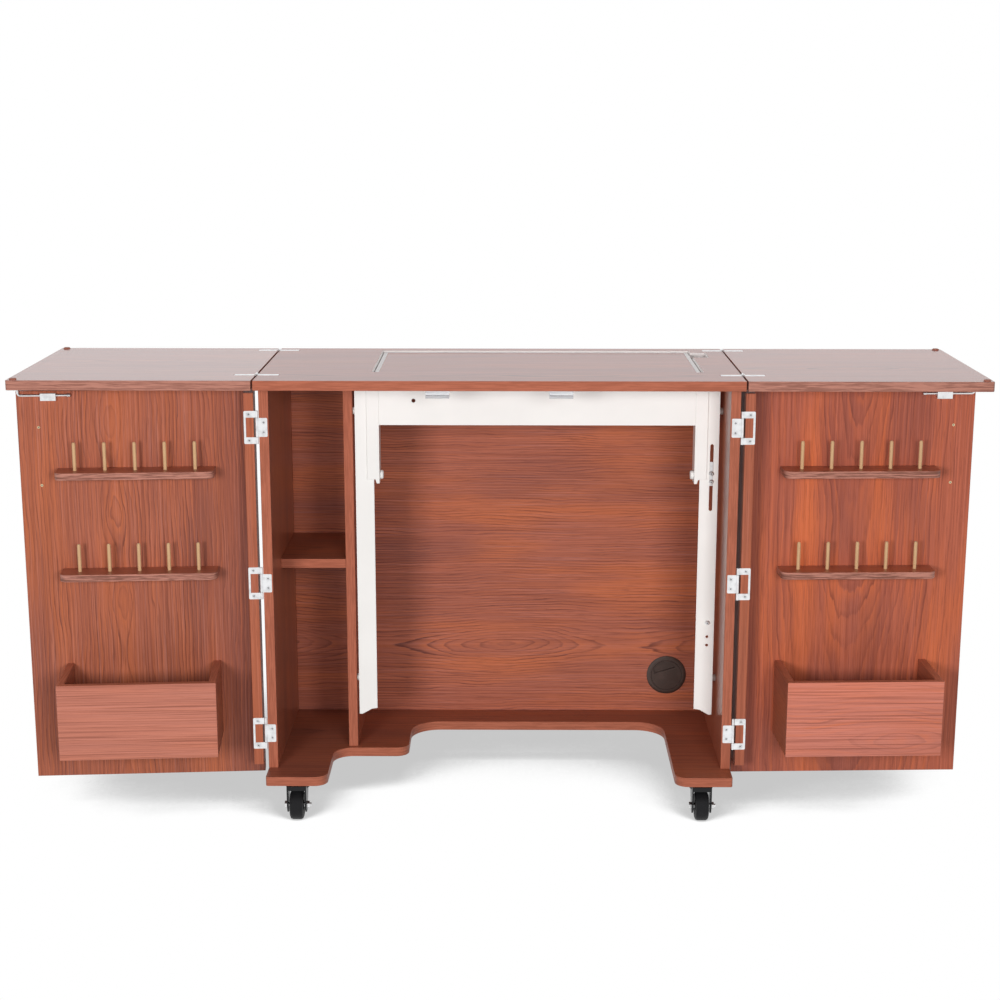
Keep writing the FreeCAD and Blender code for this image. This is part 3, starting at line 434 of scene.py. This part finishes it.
def painted_shade_share(shader, across, painted_shade_span, cloud):
    """Painted shade on one side of a board, from 0 at the first place across it to 1 at the second."""
    ragged = shader.math("SUBTRACT", cloud, NOISE_MIDDLE)
    ragged = shader.math("MULTIPLY_ADD", ragged, PAINTED_SHADE_WANDER, shader.axes[AXES[across]])
    return shader.ease(ragged, *painted_shade_span)


def wood(name, along, across, figure=None, painted_shade_span=None, seed=0.0, tone=1.0,
         smoke=0.5, ember=0.4, wash=0.0, pale=0.25, streaks=0.26, pores=0.36, gloss=0.0):
    """Printed wood laminate with a satin face, its grain along one axis and its lines across others."""
    shader = Shader(name)
    tints = {key: toned(colour, tone) for key, colour in WOOD.items()}
    fibre = grain(shader, across, FIBRE, seed)
    streak = grain(shader, across, STREAK, seed + STREAK_SEED)
    pore = grain(shader, across, PORE, seed)
    cloud = grain(shader, across, CLOUD, seed)
    warmth = grain(shader, across, EMBER, seed + EMBER_SEED)
    colour = shader.blend(shader.ease(fibre, *FIBRE_SPAN), tints["deep"], tints["light"])
    colour = shader.blend(wash, colour, tints["pale"])
    colour = shader.blend(shader.share(warmth, EMBER_SPAN, ember), colour, tints["glow"])
    smoke_and_painted_shade = shader.share(cloud, SMOKE_SPAN, smoke)
    # Painted shade: the board is darkened in the smoke colour towards one side, on the doors towards the
    # hinge
    if painted_shade_span:
        painted_shade_amount = shader.math("MULTIPLY", painted_shade_share(shader, across, painted_shade_span, cloud), PAINTED_SHADE_STRENGTH)
        smoke_and_painted_shade = shader.math("MAXIMUM", smoke_and_painted_shade, painted_shade_amount)
    colour = shader.blend(smoke_and_painted_shade, colour, tints["smoke"])
    if figure:
        lines, glow = growth_rings(shader, along, across, figure, seed)
        glow = shader.math("MULTIPLY", glow, EARLY_GLOW_SHARE)
        colour = shader.blend(glow, colour, tints["glow"])
        lines = shader.math("MULTIPLY", lines, figure["contrast"])
        colour = shader.blend(lines, colour, tints["line"])
    colour = shader.blend(shader.share(streak, PALE_SPAN, pale), colour, tints["pale"])
    darks = shader.share(streak, STREAK_SPAN, streaks)
    marks = shader.math("MAXIMUM", darks, shader.share(pore, PORE_SPAN, pores))
    colour = shader.blend(marks, colour, tints["line"])
    height = shader.math("SUBTRACT", fibre, shader.math("MULTIPLY", marks, WOOD_MARK_DEPTH_SHARE))
    return shader.finish(
        Base_Color=colour,
        Roughness=shader.uneven(streak, WOOD_ROUGHNESS, WOOD_ROUGHNESS_SPREAD),
        Specular_IOR_Level=WOOD_SPECULAR + GLOSS_SPECULAR * gloss,
        Coat_Weight=GLOSS_COAT * gloss,
        Coat_Roughness=GLOSS_COAT_ROUGHNESS,
        Normal=shader.bump(height, WOOD_BUMP, WOOD_BUMP_DEPTH),
    )


def edge_band(name, thickness, light=EDGE_LIGHT, deep=EDGE_DEEP, seed=0.0):
    """Edge banding with fine lines that run along the edge of a board."""
    shader = Shader(name)
    fine = grain(shader, thickness, EDGE_FINE, seed)
    broad = grain(shader, thickness, EDGE_BROAD, seed)
    mixed = shader.math("MULTIPLY", fine, EDGE_FINE_SHARE)
    mixed = shader.math("MULTIPLY_ADD", broad, EDGE_BROAD_SHARE, mixed)
    return shader.finish(
        Base_Color=shader.blend(shader.ease(mixed, *EDGE_SPAN), deep, light),
        Roughness=shader.uneven(fine, EDGE_ROUGHNESS, EDGE_ROUGHNESS_SPREAD),
        Specular_IOR_Level=EDGE_SPECULAR,
        Normal=shader.bump(fine, EDGE_BUMP, WOOD_BUMP_DEPTH),
    )


def pale_edging(name):
    """Off-white plastic edging of the lift opening."""
    shader = Shader(name)
    mottle = shader.noise(shader.stretched(PALE_EDGE_SCALES))
    return shader.finish(
        Base_Color=shader.blend(mottle, toned(PALE_EDGE, PALE_EDGE_SHADE_SHARE), PALE_EDGE),
        Roughness=PALE_EDGE_ROUGHNESS,
        Specular_IOR_Level=PALE_EDGE_SPECULAR,
    )


def painted_steel(name, colour, roughness, specular=0.45):
    """Powder coat: a faint orange-peel skin over sheet steel."""
    shader = Shader(name)
    peel = shader.even_noise(PEEL_SCALE, PEEL_DETAIL)
    cloud = shader.even_noise(ENAMEL_CLOUD_SCALE)
    shade = toned(colour, ENAMEL_SHADE_SHARE)
    return shader.finish(
        Base_Color=shader.blend(shader.ease(cloud, *ENAMEL_CLOUD_SPAN), colour, shade),
        Roughness=shader.uneven(cloud, roughness, ENAMEL_ROUGHNESS_SPREAD),
        Specular_IOR_Level=specular,
        Normal=shader.bump(peel, PEEL_BUMP, PEEL_DEPTH),
    )


def bare_metal(name, colour, roughness):
    """Plated or polished metal with faint rolling marks and smudges."""
    shader = Shader(name)
    marks = shader.even_noise(ROLLING_SCALE, roughness=ROLLING_NOISE_ROUGHNESS)
    smudge = shader.even_noise(SMUDGE_SCALE)
    dull = toned(colour, SMUDGE_SHADE_SHARE)
    smudged = shader.uneven(smudge, roughness - POLISH, SMUDGE_ROUGHNESS_SPREAD)
    return shader.finish(
        Base_Color=shader.blend(shader.ease(smudge, *SMUDGE_SPAN), colour, dull),
        Metallic=1.0,
        Roughness=shader.uneven(marks, smudged, ROLLING_ROUGHNESS_SPREAD),
        Normal=shader.bump(marks, ROLLING_BUMP, ROLLING_DEPTH),
    )


def moulded_plastic(name, colour, roughness, skin_scale, specular=0.5):
    """Moulded plastic or rubber with a fine spark-eroded skin."""
    shader = Shader(name)
    skin = shader.even_noise(skin_scale, SKIN_DETAIL)
    wear = shader.even_noise(WEAR_SCALE)
    worn = tuple(part * WEAR_SHARE + WEAR_LIFT for part in colour)
    return shader.finish(
        Base_Color=shader.blend(shader.ease(wear, *WEAR_SPAN), colour, worn),
        Roughness=shader.uneven(wear, roughness - WEAR_SHINE, WEAR_ROUGHNESS_SPREAD),
        Specular_IOR_Level=specular,
        Normal=shader.bump(skin, SKIN_BUMP, SKIN_DEPTH),
    )


def clear_plastic(name):
    """Clear polycarbonate with a faint blue body."""
    shader = Shader(name)
    haze = shader.even_noise(HAZE_SCALE)
    return shader.finish(
        Base_Color=shader.blend(haze, *HAZE_COLOURS),
        Roughness=shader.uneven(haze, CLEAR_ROUGHNESS, HAZE_ROUGHNESS_SPREAD),
        IOR=CLEAR_IOR,
        Transmission_Weight=CLEAR_TRANSMISSION,
    )


def beech(name):
    """Pale turned dowel with short dark flecks."""
    shader = Shader(name)
    fibre = shader.noise(shader.stretched(BEECH_FIBRE_SCALES))
    fleck = shader.noise(shader.stretched(BEECH_FLECK_SCALES), BEECH_FLECK_DETAIL)
    flecks = shader.ease(fleck, *BEECH_FLECK_SPAN, *BEECH_FLECK_LEVELS)
    colour = shader.blend(fibre, *BEECH_COLOURS)
    return shader.finish(
        Base_Color=shader.blend(flecks, colour, BEECH_FLECK_COLOUR),
        Roughness=BEECH_ROUGHNESS,
        Normal=shader.bump(fibre, BEECH_BUMP, BEECH_BUMP_DEPTH),
    )


def rings(heart, eye, ring, depth, swing, period, tilt=0.0, contrast=0.85, even_share=0.15):
    """Flat-sawn figure of one board. Heart is the line across the board that the rings lie about, eye a
    place along it where they close, depth how far the heart lies under the face there, swing how much
    deeper it goes from eye to eye, period the way between two eyes, tilt the slope of the heart along
    the board, and ring the width of one ring. Even_share is how alike the lines are in strength."""
    return {
        "heart": heart, "eye": eye, "ring": ring, "depth": depth, "swing": swing, "period": period,
        "tilt": tilt, "contrast": contrast, "even_share": even_share,
    }


TOP_LOOK = {"smoke": 0.3, "tone": (1.0, 1.0, 1.35), "streaks": 0.45}
BIN_LOOK = {"smoke": 0.2, "ember": 0.2, "wash": 0.35, "streaks": 0.52, "pores": 0.20}

WOODS = {
    # Each door is darkened towards its hinge side by painted shade
    "left_door": wood(
        "wood_left_door", "Z", "X", seed=3.1, tone=(1.06, 1.08, 1.12), painted_shade_span=(-0.50, -0.42),
        figure=rings(heart=-0.631, eye=0.521, ring=0.0066, depth=0.004, swing=0.012, period=0.165,
                     even_share=0.45)),
    "right_door": wood(
        "wood_right_door", "Z", "X", seed=8.6, tone=(1.22, 1.10, 1.13), painted_shade_span=(0.47, 0.41),
        ember=0.9, pale=0.12,
        figure=rings(heart=0.590, eye=0.720, ring=0.0085, depth=0.010, swing=0.012, period=0.31,
                     tilt=-0.10, contrast=0.65)),
    # Painted light: the back is toned lighter to make up for the shade it lies in inside the cabinet
    "back": wood(
        "wood_back", "X", "Z", seed=5.2, tone=(1.10, 1.14, 1.27), ember=0.7,
        figure=rings(heart=0.211, eye=0.004, ring=0.0050, depth=0.004, swing=0.030, period=0.46,
                     contrast=1.0, even_share=0.5)),
    "side": wood(
        "wood_side", "Z", "Y", seed=1.4, gloss=0.9,
        figure=rings(heart=0.02, eye=0.35, ring=0.0075, depth=0.012, swing=0.018, period=0.42)),
    "centre_top": wood(
        "wood_centre_top", "X", "Y", seed=6.3, gloss=1.05, **TOP_LOOK,
        figure=rings(heart=-0.14, eye=0.1, ring=0.0085, depth=0.012, swing=0.02, period=0.6)),
    "left_top": wood(
        "wood_left_top", "X", "Y", seed=2.7, gloss=1.55, **TOP_LOOK,
        figure=rings(heart=0.03, eye=-0.6, ring=0.0085, depth=0.012, swing=0.02, period=0.5)),
    "right_top": wood(
        "wood_right_top", "X", "Y", seed=7.9, gloss=1.3, **TOP_LOOK,
        figure=rings(heart=-0.05, eye=0.58, ring=0.0085, depth=0.012, swing=0.02, period=0.5)),
    "base": wood(
        "wood_base", "X", "Y", seed=4.4, tone=0.85,
        figure=rings(heart=0.05, eye=0.05, ring=0.0085, depth=0.015, swing=0.02, period=0.5)),
    "left_bin": wood("wood_left_bin", "X", "Z", seed=9.2, tone=1.22, **BIN_LOOK),
    "right_bin": wood(
        "wood_right_bin", "X", "Z", seed=2.2, tone=(1.40, 1.31, 1.34), **BIN_LOOK,
        figure=rings(heart=0.165, eye=0.66, ring=0.007, depth=0.01, swing=0.02, period=0.3,
                     contrast=0.5)),
    "tray": wood("wood_tray", "Y", "XZ", seed=5.9),
    "rack": wood("wood_rack", "X", "Y", seed=3.8, gloss=0.5),
    "rail": wood("wood_rail", "Z", "XY", seed=6.6, tone=1.05, smoke=0.15, ember=0.2, streaks=0.18),
}
EDGES = {axis: edge_band("edge_band_" + axis, axis) for axis in AXES}
LEAF_EDGE = edge_band("edge_band_leaf", "Z", LEAF_EDGE_LIGHT, LEAF_EDGE_DEEP, seed=1.0)
RACK_EDGE = edge_band("edge_band_rack", "Z", RACK_EDGE_LIGHT, RACK_EDGE_DEEP, seed=2.0)
PALE = pale_edging("pale_edging")
# Darker metal on the faces of the screws' cross recesses: painted shade
PAINTED_SHADE_RECESS = bare_metal("recess_painted_shade", (0.380, 0.380, 0.390), roughness=0.45)

FINISHES = {
    "white_steel": painted_steel("white_enamel", (0.900, 0.885, 0.860), roughness=0.30),
    "black_steel": painted_steel("black_enamel", (0.008, 0.008, 0.009), roughness=0.16, specular=0.25),
    "zinc": bare_metal("bright_zinc", (0.890, 0.895, 0.905), roughness=0.30),
    "brass": bare_metal("brass", (0.860, 0.690, 0.400), roughness=0.24),
    "bright_steel": bare_metal("bright_steel", (0.820, 0.820, 0.825), roughness=0.32),
    "clear_plastic": clear_plastic("clear_polycarbonate"),
    "white_plastic": moulded_plastic(
        "white_nylon", (0.800, 0.790, 0.770), roughness=0.42, skin_scale=900.0),
    "brown_plastic": moulded_plastic(
        "brown_plastic", (0.050, 0.031, 0.025), roughness=0.36, skin_scale=1400.0),
    "brown_rubber": moulded_plastic(
        "brown_rubber", (0.330, 0.120, 0.080), roughness=0.50, skin_scale=1800.0),
    "black_rubber": moulded_plastic(
        "black_rubber", (0.012, 0.012, 0.013), roughness=0.46, skin_scale=1600.0, specular=0.16),
    "beech_dowel": beech("beech"),
}


def mesh_piece(name, mesh):
    """A new object for a mesh, in the scene."""
    piece = bpy.data.objects.new(name, mesh)
    scene.collection.objects.link(piece)
    return piece


def fine_copy(node):
    """A copy of a node with its points merged and its flat faces whole."""
    work = bmesh.new()
    work.from_mesh(NODES[node].data)
    bmesh.ops.remove_doubles(work, verts=work.verts, dist=MERGE_DISTANCE)
    bmesh.ops.dissolve_limit(work, angle_limit=FLAT_ANGLE, verts=work.verts, edges=work.edges)
    bmesh.ops.recalc_face_normals(work, faces=work.faces)
    mesh = bpy.data.meshes.new(node + "_fine")
    work.to_mesh(mesh)
    work.free()
    return mesh_piece(node + "_fine", mesh)


def round_edges(piece, radius):
    """Softens the sharp edges of a piece and shades its faces evenly."""
    piece.data.shade_smooth()
    bevel = piece.modifiers.new("soft_edges", "BEVEL")
    bevel.width = radius
    bevel.segments = BEVEL_SEGMENTS
    bevel.limit_method = "ANGLE"
    bevel.angle_limit = BEVEL_ANGLE
    bevel.use_clamp_overlap = True
    even = piece.modifiers.new("even_shading", "WEIGHTED_NORMAL")
    even.keep_sharp = True
    even.weight = EVEN_WEIGHT


def settle(piece, node):
    """The piece stands for a node: it rides on the node's body, and the node is hidden."""
    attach(piece, BODY_OF[node])
    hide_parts(node)


def paint(piece, *materials):
    """Gives a piece its materials, the first one on every face so far."""
    piece.data.materials.clear()
    for material in materials:
        piece.data.materials.append(material)


def board(node, thickness, face, edge=None):
    """A laminate board: wood on its two faces and banding on its edges."""
    piece = fine_copy(node)
    paint(piece, WOODS[face], edge or EDGES[thickness])
    for polygon in piece.data.polygons:
        flat = abs(polygon.normal[AXES[thickness]]) > FACE_ALIGN
        polygon.material_index = FACE_INDEX if flat else EDGE_INDEX
    round_edges(piece, BOARD_ROUND)
    settle(piece, node)
    return piece


def boards():
    """All wooden boards of the cabinet."""
    for side in SIDES:
        board("leaf_" + side, "Z", side + "_top", LEAF_EDGE)
        board("side_" + side, "X", "side")
        board("door_panel_" + side, "Y", side + "_door")
        board("bin_front_" + side, "Y", side + "_bin")
        board("thread_racks_" + side, "Z", "rack", RACK_EDGE)
        rail("door_rail_" + side)
        tray("bin_tray_" + side)
    board("partition", "X", "side")
    board("shelf", "Z", "base")
    board("base", "Z", "base")
    board("back_panel", "Y", "back")
    board("platform", "Z", "centre_top")
    line_opening(board("centre_top", "Z", "centre_top"))


def rail(node):
    """A door's hinge rail, with upright grain all round."""
    piece = fine_copy(node)
    paint(piece, WOODS["rail"])
    round_edges(piece, BOARD_ROUND)
    settle(piece, node)


def tray(node):
    """A bin's sides and bottom, with banding on the top edges."""
    piece = fine_copy(node)
    paint(piece, WOODS["tray"], EDGES["X"])
    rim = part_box(node)[1].z - BOARD_ROUND
    for polygon in piece.data.polygons:
        polygon.material_index = EDGE_INDEX if polygon.center.z > rim else FACE_INDEX
    round_edges(piece, BOARD_ROUND)
    settle(piece, node)


def line_opening(piece):
    """Pale edging on the walls of the lift opening, but for the front one."""
    low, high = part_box("centre_top")
    piece.data.materials.append(PALE)
    margin = (high.z - low.z) / 2
    for polygon in piece.data.polygons:
        middle, normal = polygon.center, polygon.normal
        inside_x = low.x + margin < middle.x < high.x - margin
        inside_y = low.y + margin < middle.y < high.y - margin
        upright = abs(normal.z) < 1 - FACE_ALIGN
        tall = polygon.area > margin * margin
        if upright and inside_x and inside_y and tall and normal.y < FACE_ALIGN:
            polygon.material_index = LINING_INDEX


def is_screw_head(face):
    """Whether a face is the flat round head of a screw."""
    middle = face.calc_center_median()
    reach = [(corner.co - middle).length for corner in face.verts]
    even = max(reach) - min(reach) < SCREW_ROUNDNESS
    return even and len(reach) >= SCREW_CORNERS and SCREW_RADII[0] < max(reach) < SCREW_RADII[1]


def cut_cross(work, face, turn):
    """Sinks a cross recess into one screw head."""
    middle, out = face.calc_center_median(), face.normal.copy()
    across = Quaternion(out, turn) @ out.orthogonal().normalized()
    up = out.cross(across)
    reach = (face.verts[0].co - middle).length
    arm, half = CROSS_ARM_SHARE * reach, CROSS_HALF_WIDTH_SHARE * reach
    outline = []
    for quarter in range(CROSS_ARMS):
        for x, y in ((arm, -half), (arm, half), (half, half)):
            for _ in range(quarter):
                x, y = -y, x
            outline.append(x * across + y * up)
    sink = CROSS_DEPTH_SHARE * reach * out
    rim = [work.verts.new(middle + place) for place in outline]
    pit = [work.verts.new(middle + CROSS_PIT_SHARE * place - sink) for place in outline]
    ring = list(face.edges)
    bmesh.ops.delete(work, geom=[face], context="FACES_ONLY")
    sunk = [(rim[index - 1], rim[index], pit[index], pit[index - 1]) for index in range(len(rim))]
    for corners in (*sunk, pit):
        work.faces.new(corners).material_index = RECESS_INDEX
    ring += [work.edges.get((rim[index - 1], rim[index])) for index in range(len(rim))]
    bmesh.ops.triangle_fill(work, use_beauty=True, use_dissolve=False, edges=ring, normal=out)


def drive_screws(piece):
    """Cuts the cross recesses of all screws of a piece, in a darker metal as painted shade."""
    work = bmesh.new()
    work.from_mesh(piece.data)
    work.normal_update()
    heads = [face for face in work.faces if is_screw_head(face)]
    for count, face in enumerate(heads):
        cut_cross(work, face, SCREW_TURN * count)
    if heads:
        piece.data.materials.append(PAINTED_SHADE_RECESS)
    bmesh.ops.recalc_face_normals(work, faces=work.faces)
    work.to_mesh(piece.data)
    work.free()


def plain_piece(node, radius):
    """A piece of one finish with softened edges."""
    piece = fine_copy(node)
    paint(piece, FINISHES[SLOT_OF[node]])
    drive_screws(piece)
    round_edges(piece, radius)
    settle(piece, node)


def fittings():
    """Every piece that isn't a board."""
    rounds = {"white_steel": SHEET_ROUND, "zinc": LEAF_ROUND}
    for node in sorted(NODES):
        if SLOT_OF[node] != "cherry_laminate":
            plain_piece(node, rounds.get(SLOT_OF[node], CAST_ROUND))


def left_of(start, end):
    """The level direction to the left of a straight run."""
    run = (end - start).normalized()
    return Vector((-run.y, run.x))


def swept(name, path, profile):
    """A strip of one profile along a level path with mitred corners; each profile point is a
    reach to the left of the path and a height."""
    work = bmesh.new()
    sides = [left_of(a, b) for a, b in zip(path, path[1:])]
    before, after = sides[:1] + sides, sides + sides[-1:]
    sections = []
    for place, one, two in zip(path, before, after):
        mitre = (one + two) / (1 + one.dot(two))
        section = [work.verts.new((*(place + reach * mitre), height)) for reach, height in profile]
        sections.append(section)
    for section, following in zip(sections, sections[1:]):
        for index in range(len(profile)):
            work.faces.new((section[index - 1], section[index], following[index], following[index - 1]))
    work.faces.new(sections[0])
    work.faces.new(sections[-1])
    bmesh.ops.recalc_face_normals(work, faces=work.faces)
    mesh = bpy.data.meshes.new(name)
    work.to_mesh(mesh)
    work.free()
    return mesh_piece(name, mesh)


def edging(name, corners, body, liner_side, top):
    """Pale angle edging: a flange on top of a board's edge and a liner down its side."""
    flange, liner = -liner_side * LIP_FLANGE, liner_side * LIP_LINER
    high, low = top + LIP_RISE, top - LIP_DROP
    profile = [(liner, high), (flange, high), (flange, top), (0, top), (0, low), (liner, low)]
    piece = swept(name, [Vector(corner) for corner in corners], profile)
    paint(piece, PALE)
    round_edges(piece, LEAF_ROUND)
    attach(piece, body)


def lift_edging():
    """Edging round the lift opening with its cable notch, and on the platform, but for the front."""
    low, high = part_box("platform")
    edge = [(low.x, low.y), (low.x, high.y), (high.x, high.y), (high.x, low.y)]
    edging("platform_edging", edge, "lift", LINER_ON_LEFT, high.z)
    left, right = low.x - LIFT_GAP, high.x + LIFT_GAP
    front, back = low.y - LIFT_GAP, high.y + LIFT_GAP
    notch_rear = back - NOTCH_BACK
    notch_front = notch_rear - NOTCH_LENGTH
    notch_right = right + NOTCH_DEPTH
    opening = [
        (left, front), (left, back), (right, back), (right, notch_rear),
        (notch_right, notch_rear), (notch_right, notch_front), (right, notch_front), (right, front),
    ]
    edging("opening_edging", opening, "carcass", LINER_ON_RIGHT, high.z)


def camera():
    """The camera at the photograph's place, angle and framing."""
    pitch, yaw, roll = CAMERA_PITCH, CAMERA_YAW, CAMERA_ROLL
    level = Vector((math.cos(yaw), math.sin(yaw), 0))
    ahead = Vector((-math.sin(yaw) * math.cos(pitch), math.cos(yaw) * math.cos(pitch), -math.sin(pitch)))
    rise = level.cross(ahead)
    right = math.cos(roll) * level + math.sin(roll) * rise
    up = -math.sin(roll) * level + math.cos(roll) * rise
    turn = Matrix((right, up, -ahead)).transposed().to_4x4()
    lens = bpy.data.cameras.new("camera")
    lens.sensor_width = SENSOR_MM
    lens.lens = FOCAL_PIXELS / PHOTO_PIXELS * SENSOR_MM
    lens.shift_y = (OPTICAL_CENTRE_Y - PHOTO_PIXELS / 2) / PHOTO_PIXELS
    eye = bpy.data.objects.new("camera", lens)
    scene.collection.objects.link(eye)
    eye.matrix_world = Matrix.Translation(CAMERA_PLACE) @ turn
    scene.camera = eye


def softbox(name, place, size, power):
    """A square soft lamp aimed at the cabinet."""
    light = bpy.data.lights.new(name, "AREA")
    light.shape = "SQUARE"
    light.size = size
    light.energy = power
    lamp = bpy.data.objects.new(name, light)
    lamp.location = place
    lamp.rotation_euler = (Vector(LAMP_AIM) - Vector(place)).to_track_quat("-Z", "Y").to_euler()
    lamp.visible_camera = False
    lamp.visible_glossy = False
    scene.collection.objects.link(lamp)


def lamps():
    """Softboxes: two in front at the camera's height, one overhead and two behind."""
    for name, (place, size, power) in LAMPS.items():
        softbox(name, place, size, power)


def is_background_ray(tree):
    """1 for the rays that see the background itself: camera, glossy and clear ones."""
    path = tree.nodes.new("ShaderNodeLightPath")
    seen = path.outputs["Is Camera Ray"]
    for name in ("Is Glossy Ray", "Is Transmission Ray"):
        either = tree.nodes.new("ShaderNodeMath")
        either.operation = "MAXIMUM"
        tree.links.new(seen, either.inputs[0])
        tree.links.new(path.outputs[name], either.inputs[1])
        seen = either.outputs[0]
    return seen


def sky():
    """A white background that gives only a soft share of its light to the cabinet."""
    world = bpy.data.worlds.new("studio")
    world.use_nodes = True
    scene.world = world
    tree = world.node_tree
    level = tree.nodes.new("ShaderNodeMapRange")
    level.inputs["To Min"].default_value = SKY_SOFT
    level.inputs["To Max"].default_value = SKY_WHITE
    tree.links.new(is_background_ray(tree), level.inputs["Value"])
    background = tree.nodes["Background"]
    background.inputs["Color"].default_value = SKY_COLOUR
    tree.links.new(level.outputs[0], background.inputs["Strength"])


def painted_shadow_openness(tree):
    """Painted shadow on the floor: how open a place is, by ambient occlusion looking up and towards the
    front.
    """
    shade = tree.nodes.new("ShaderNodeAmbientOcclusion")
    shade.samples = FLOOR_SHADE_SAMPLES
    shade.inputs["Distance"].default_value = FLOOR_SHADE_REACH
    facing = tree.nodes.new("ShaderNodeCombineXYZ")
    for socket, value in zip(facing.inputs, FLOOR_FACING):
        socket.default_value = value
    tree.links.new(facing.outputs[0], shade.inputs["Normal"])
    return shade.outputs["AO"]


def floor_finish():
    """Pale matt floor; to the camera it is plain white with a painted shadow from ambient occlusion near
    the cabinet.
    """
    material = bpy.data.materials.new("pale_floor")
    material.use_nodes = True
    tree = material.node_tree
    tree.nodes.clear()
    level = tree.nodes.new("ShaderNodeMapRange")
    level.interpolation_type = "SMOOTHSTEP"
    level.inputs["From Min"].default_value, level.inputs["From Max"].default_value = FLOOR_SHADE_RANGE
    level.inputs["To Min"].default_value, level.inputs["To Max"].default_value = FLOOR_SHADE_LEVELS
    matt = tree.nodes.new("ShaderNodeBsdfDiffuse")
    matt.inputs["Color"].default_value = (FLOOR_BOUNCE, FLOOR_BOUNCE, FLOOR_BOUNCE, 1)
    pale = tree.nodes.new("ShaderNodeEmission")
    both = tree.nodes.new("ShaderNodeMixShader")
    output = tree.nodes.new("ShaderNodeOutputMaterial")
    tree.links.new(painted_shadow_openness(tree), level.inputs["Value"])
    tree.links.new(level.outputs[0], pale.inputs["Strength"])
    for socket, value in zip(both.inputs, (is_background_ray(tree), matt.outputs[0], pale.outputs[0])):
        tree.links.new(value, socket)
    tree.links.new(both.outputs[0], output.inputs["Surface"])
    return material


def floor():
    """A plain floor under the casters."""
    half = FLOOR_SIZE / 2
    corners = [(-half, -half, 0), (half, -half, 0), (half, half, 0), (-half, half, 0)]
    mesh = bpy.data.meshes.new("floor")
    mesh.from_pydata(corners, [], [range(len(corners))])
    mesh.materials.append(floor_finish())
    mesh_piece("floor", mesh)


boards()
fittings()
lift_edging()
camera()
lamps()
sky()
floor()
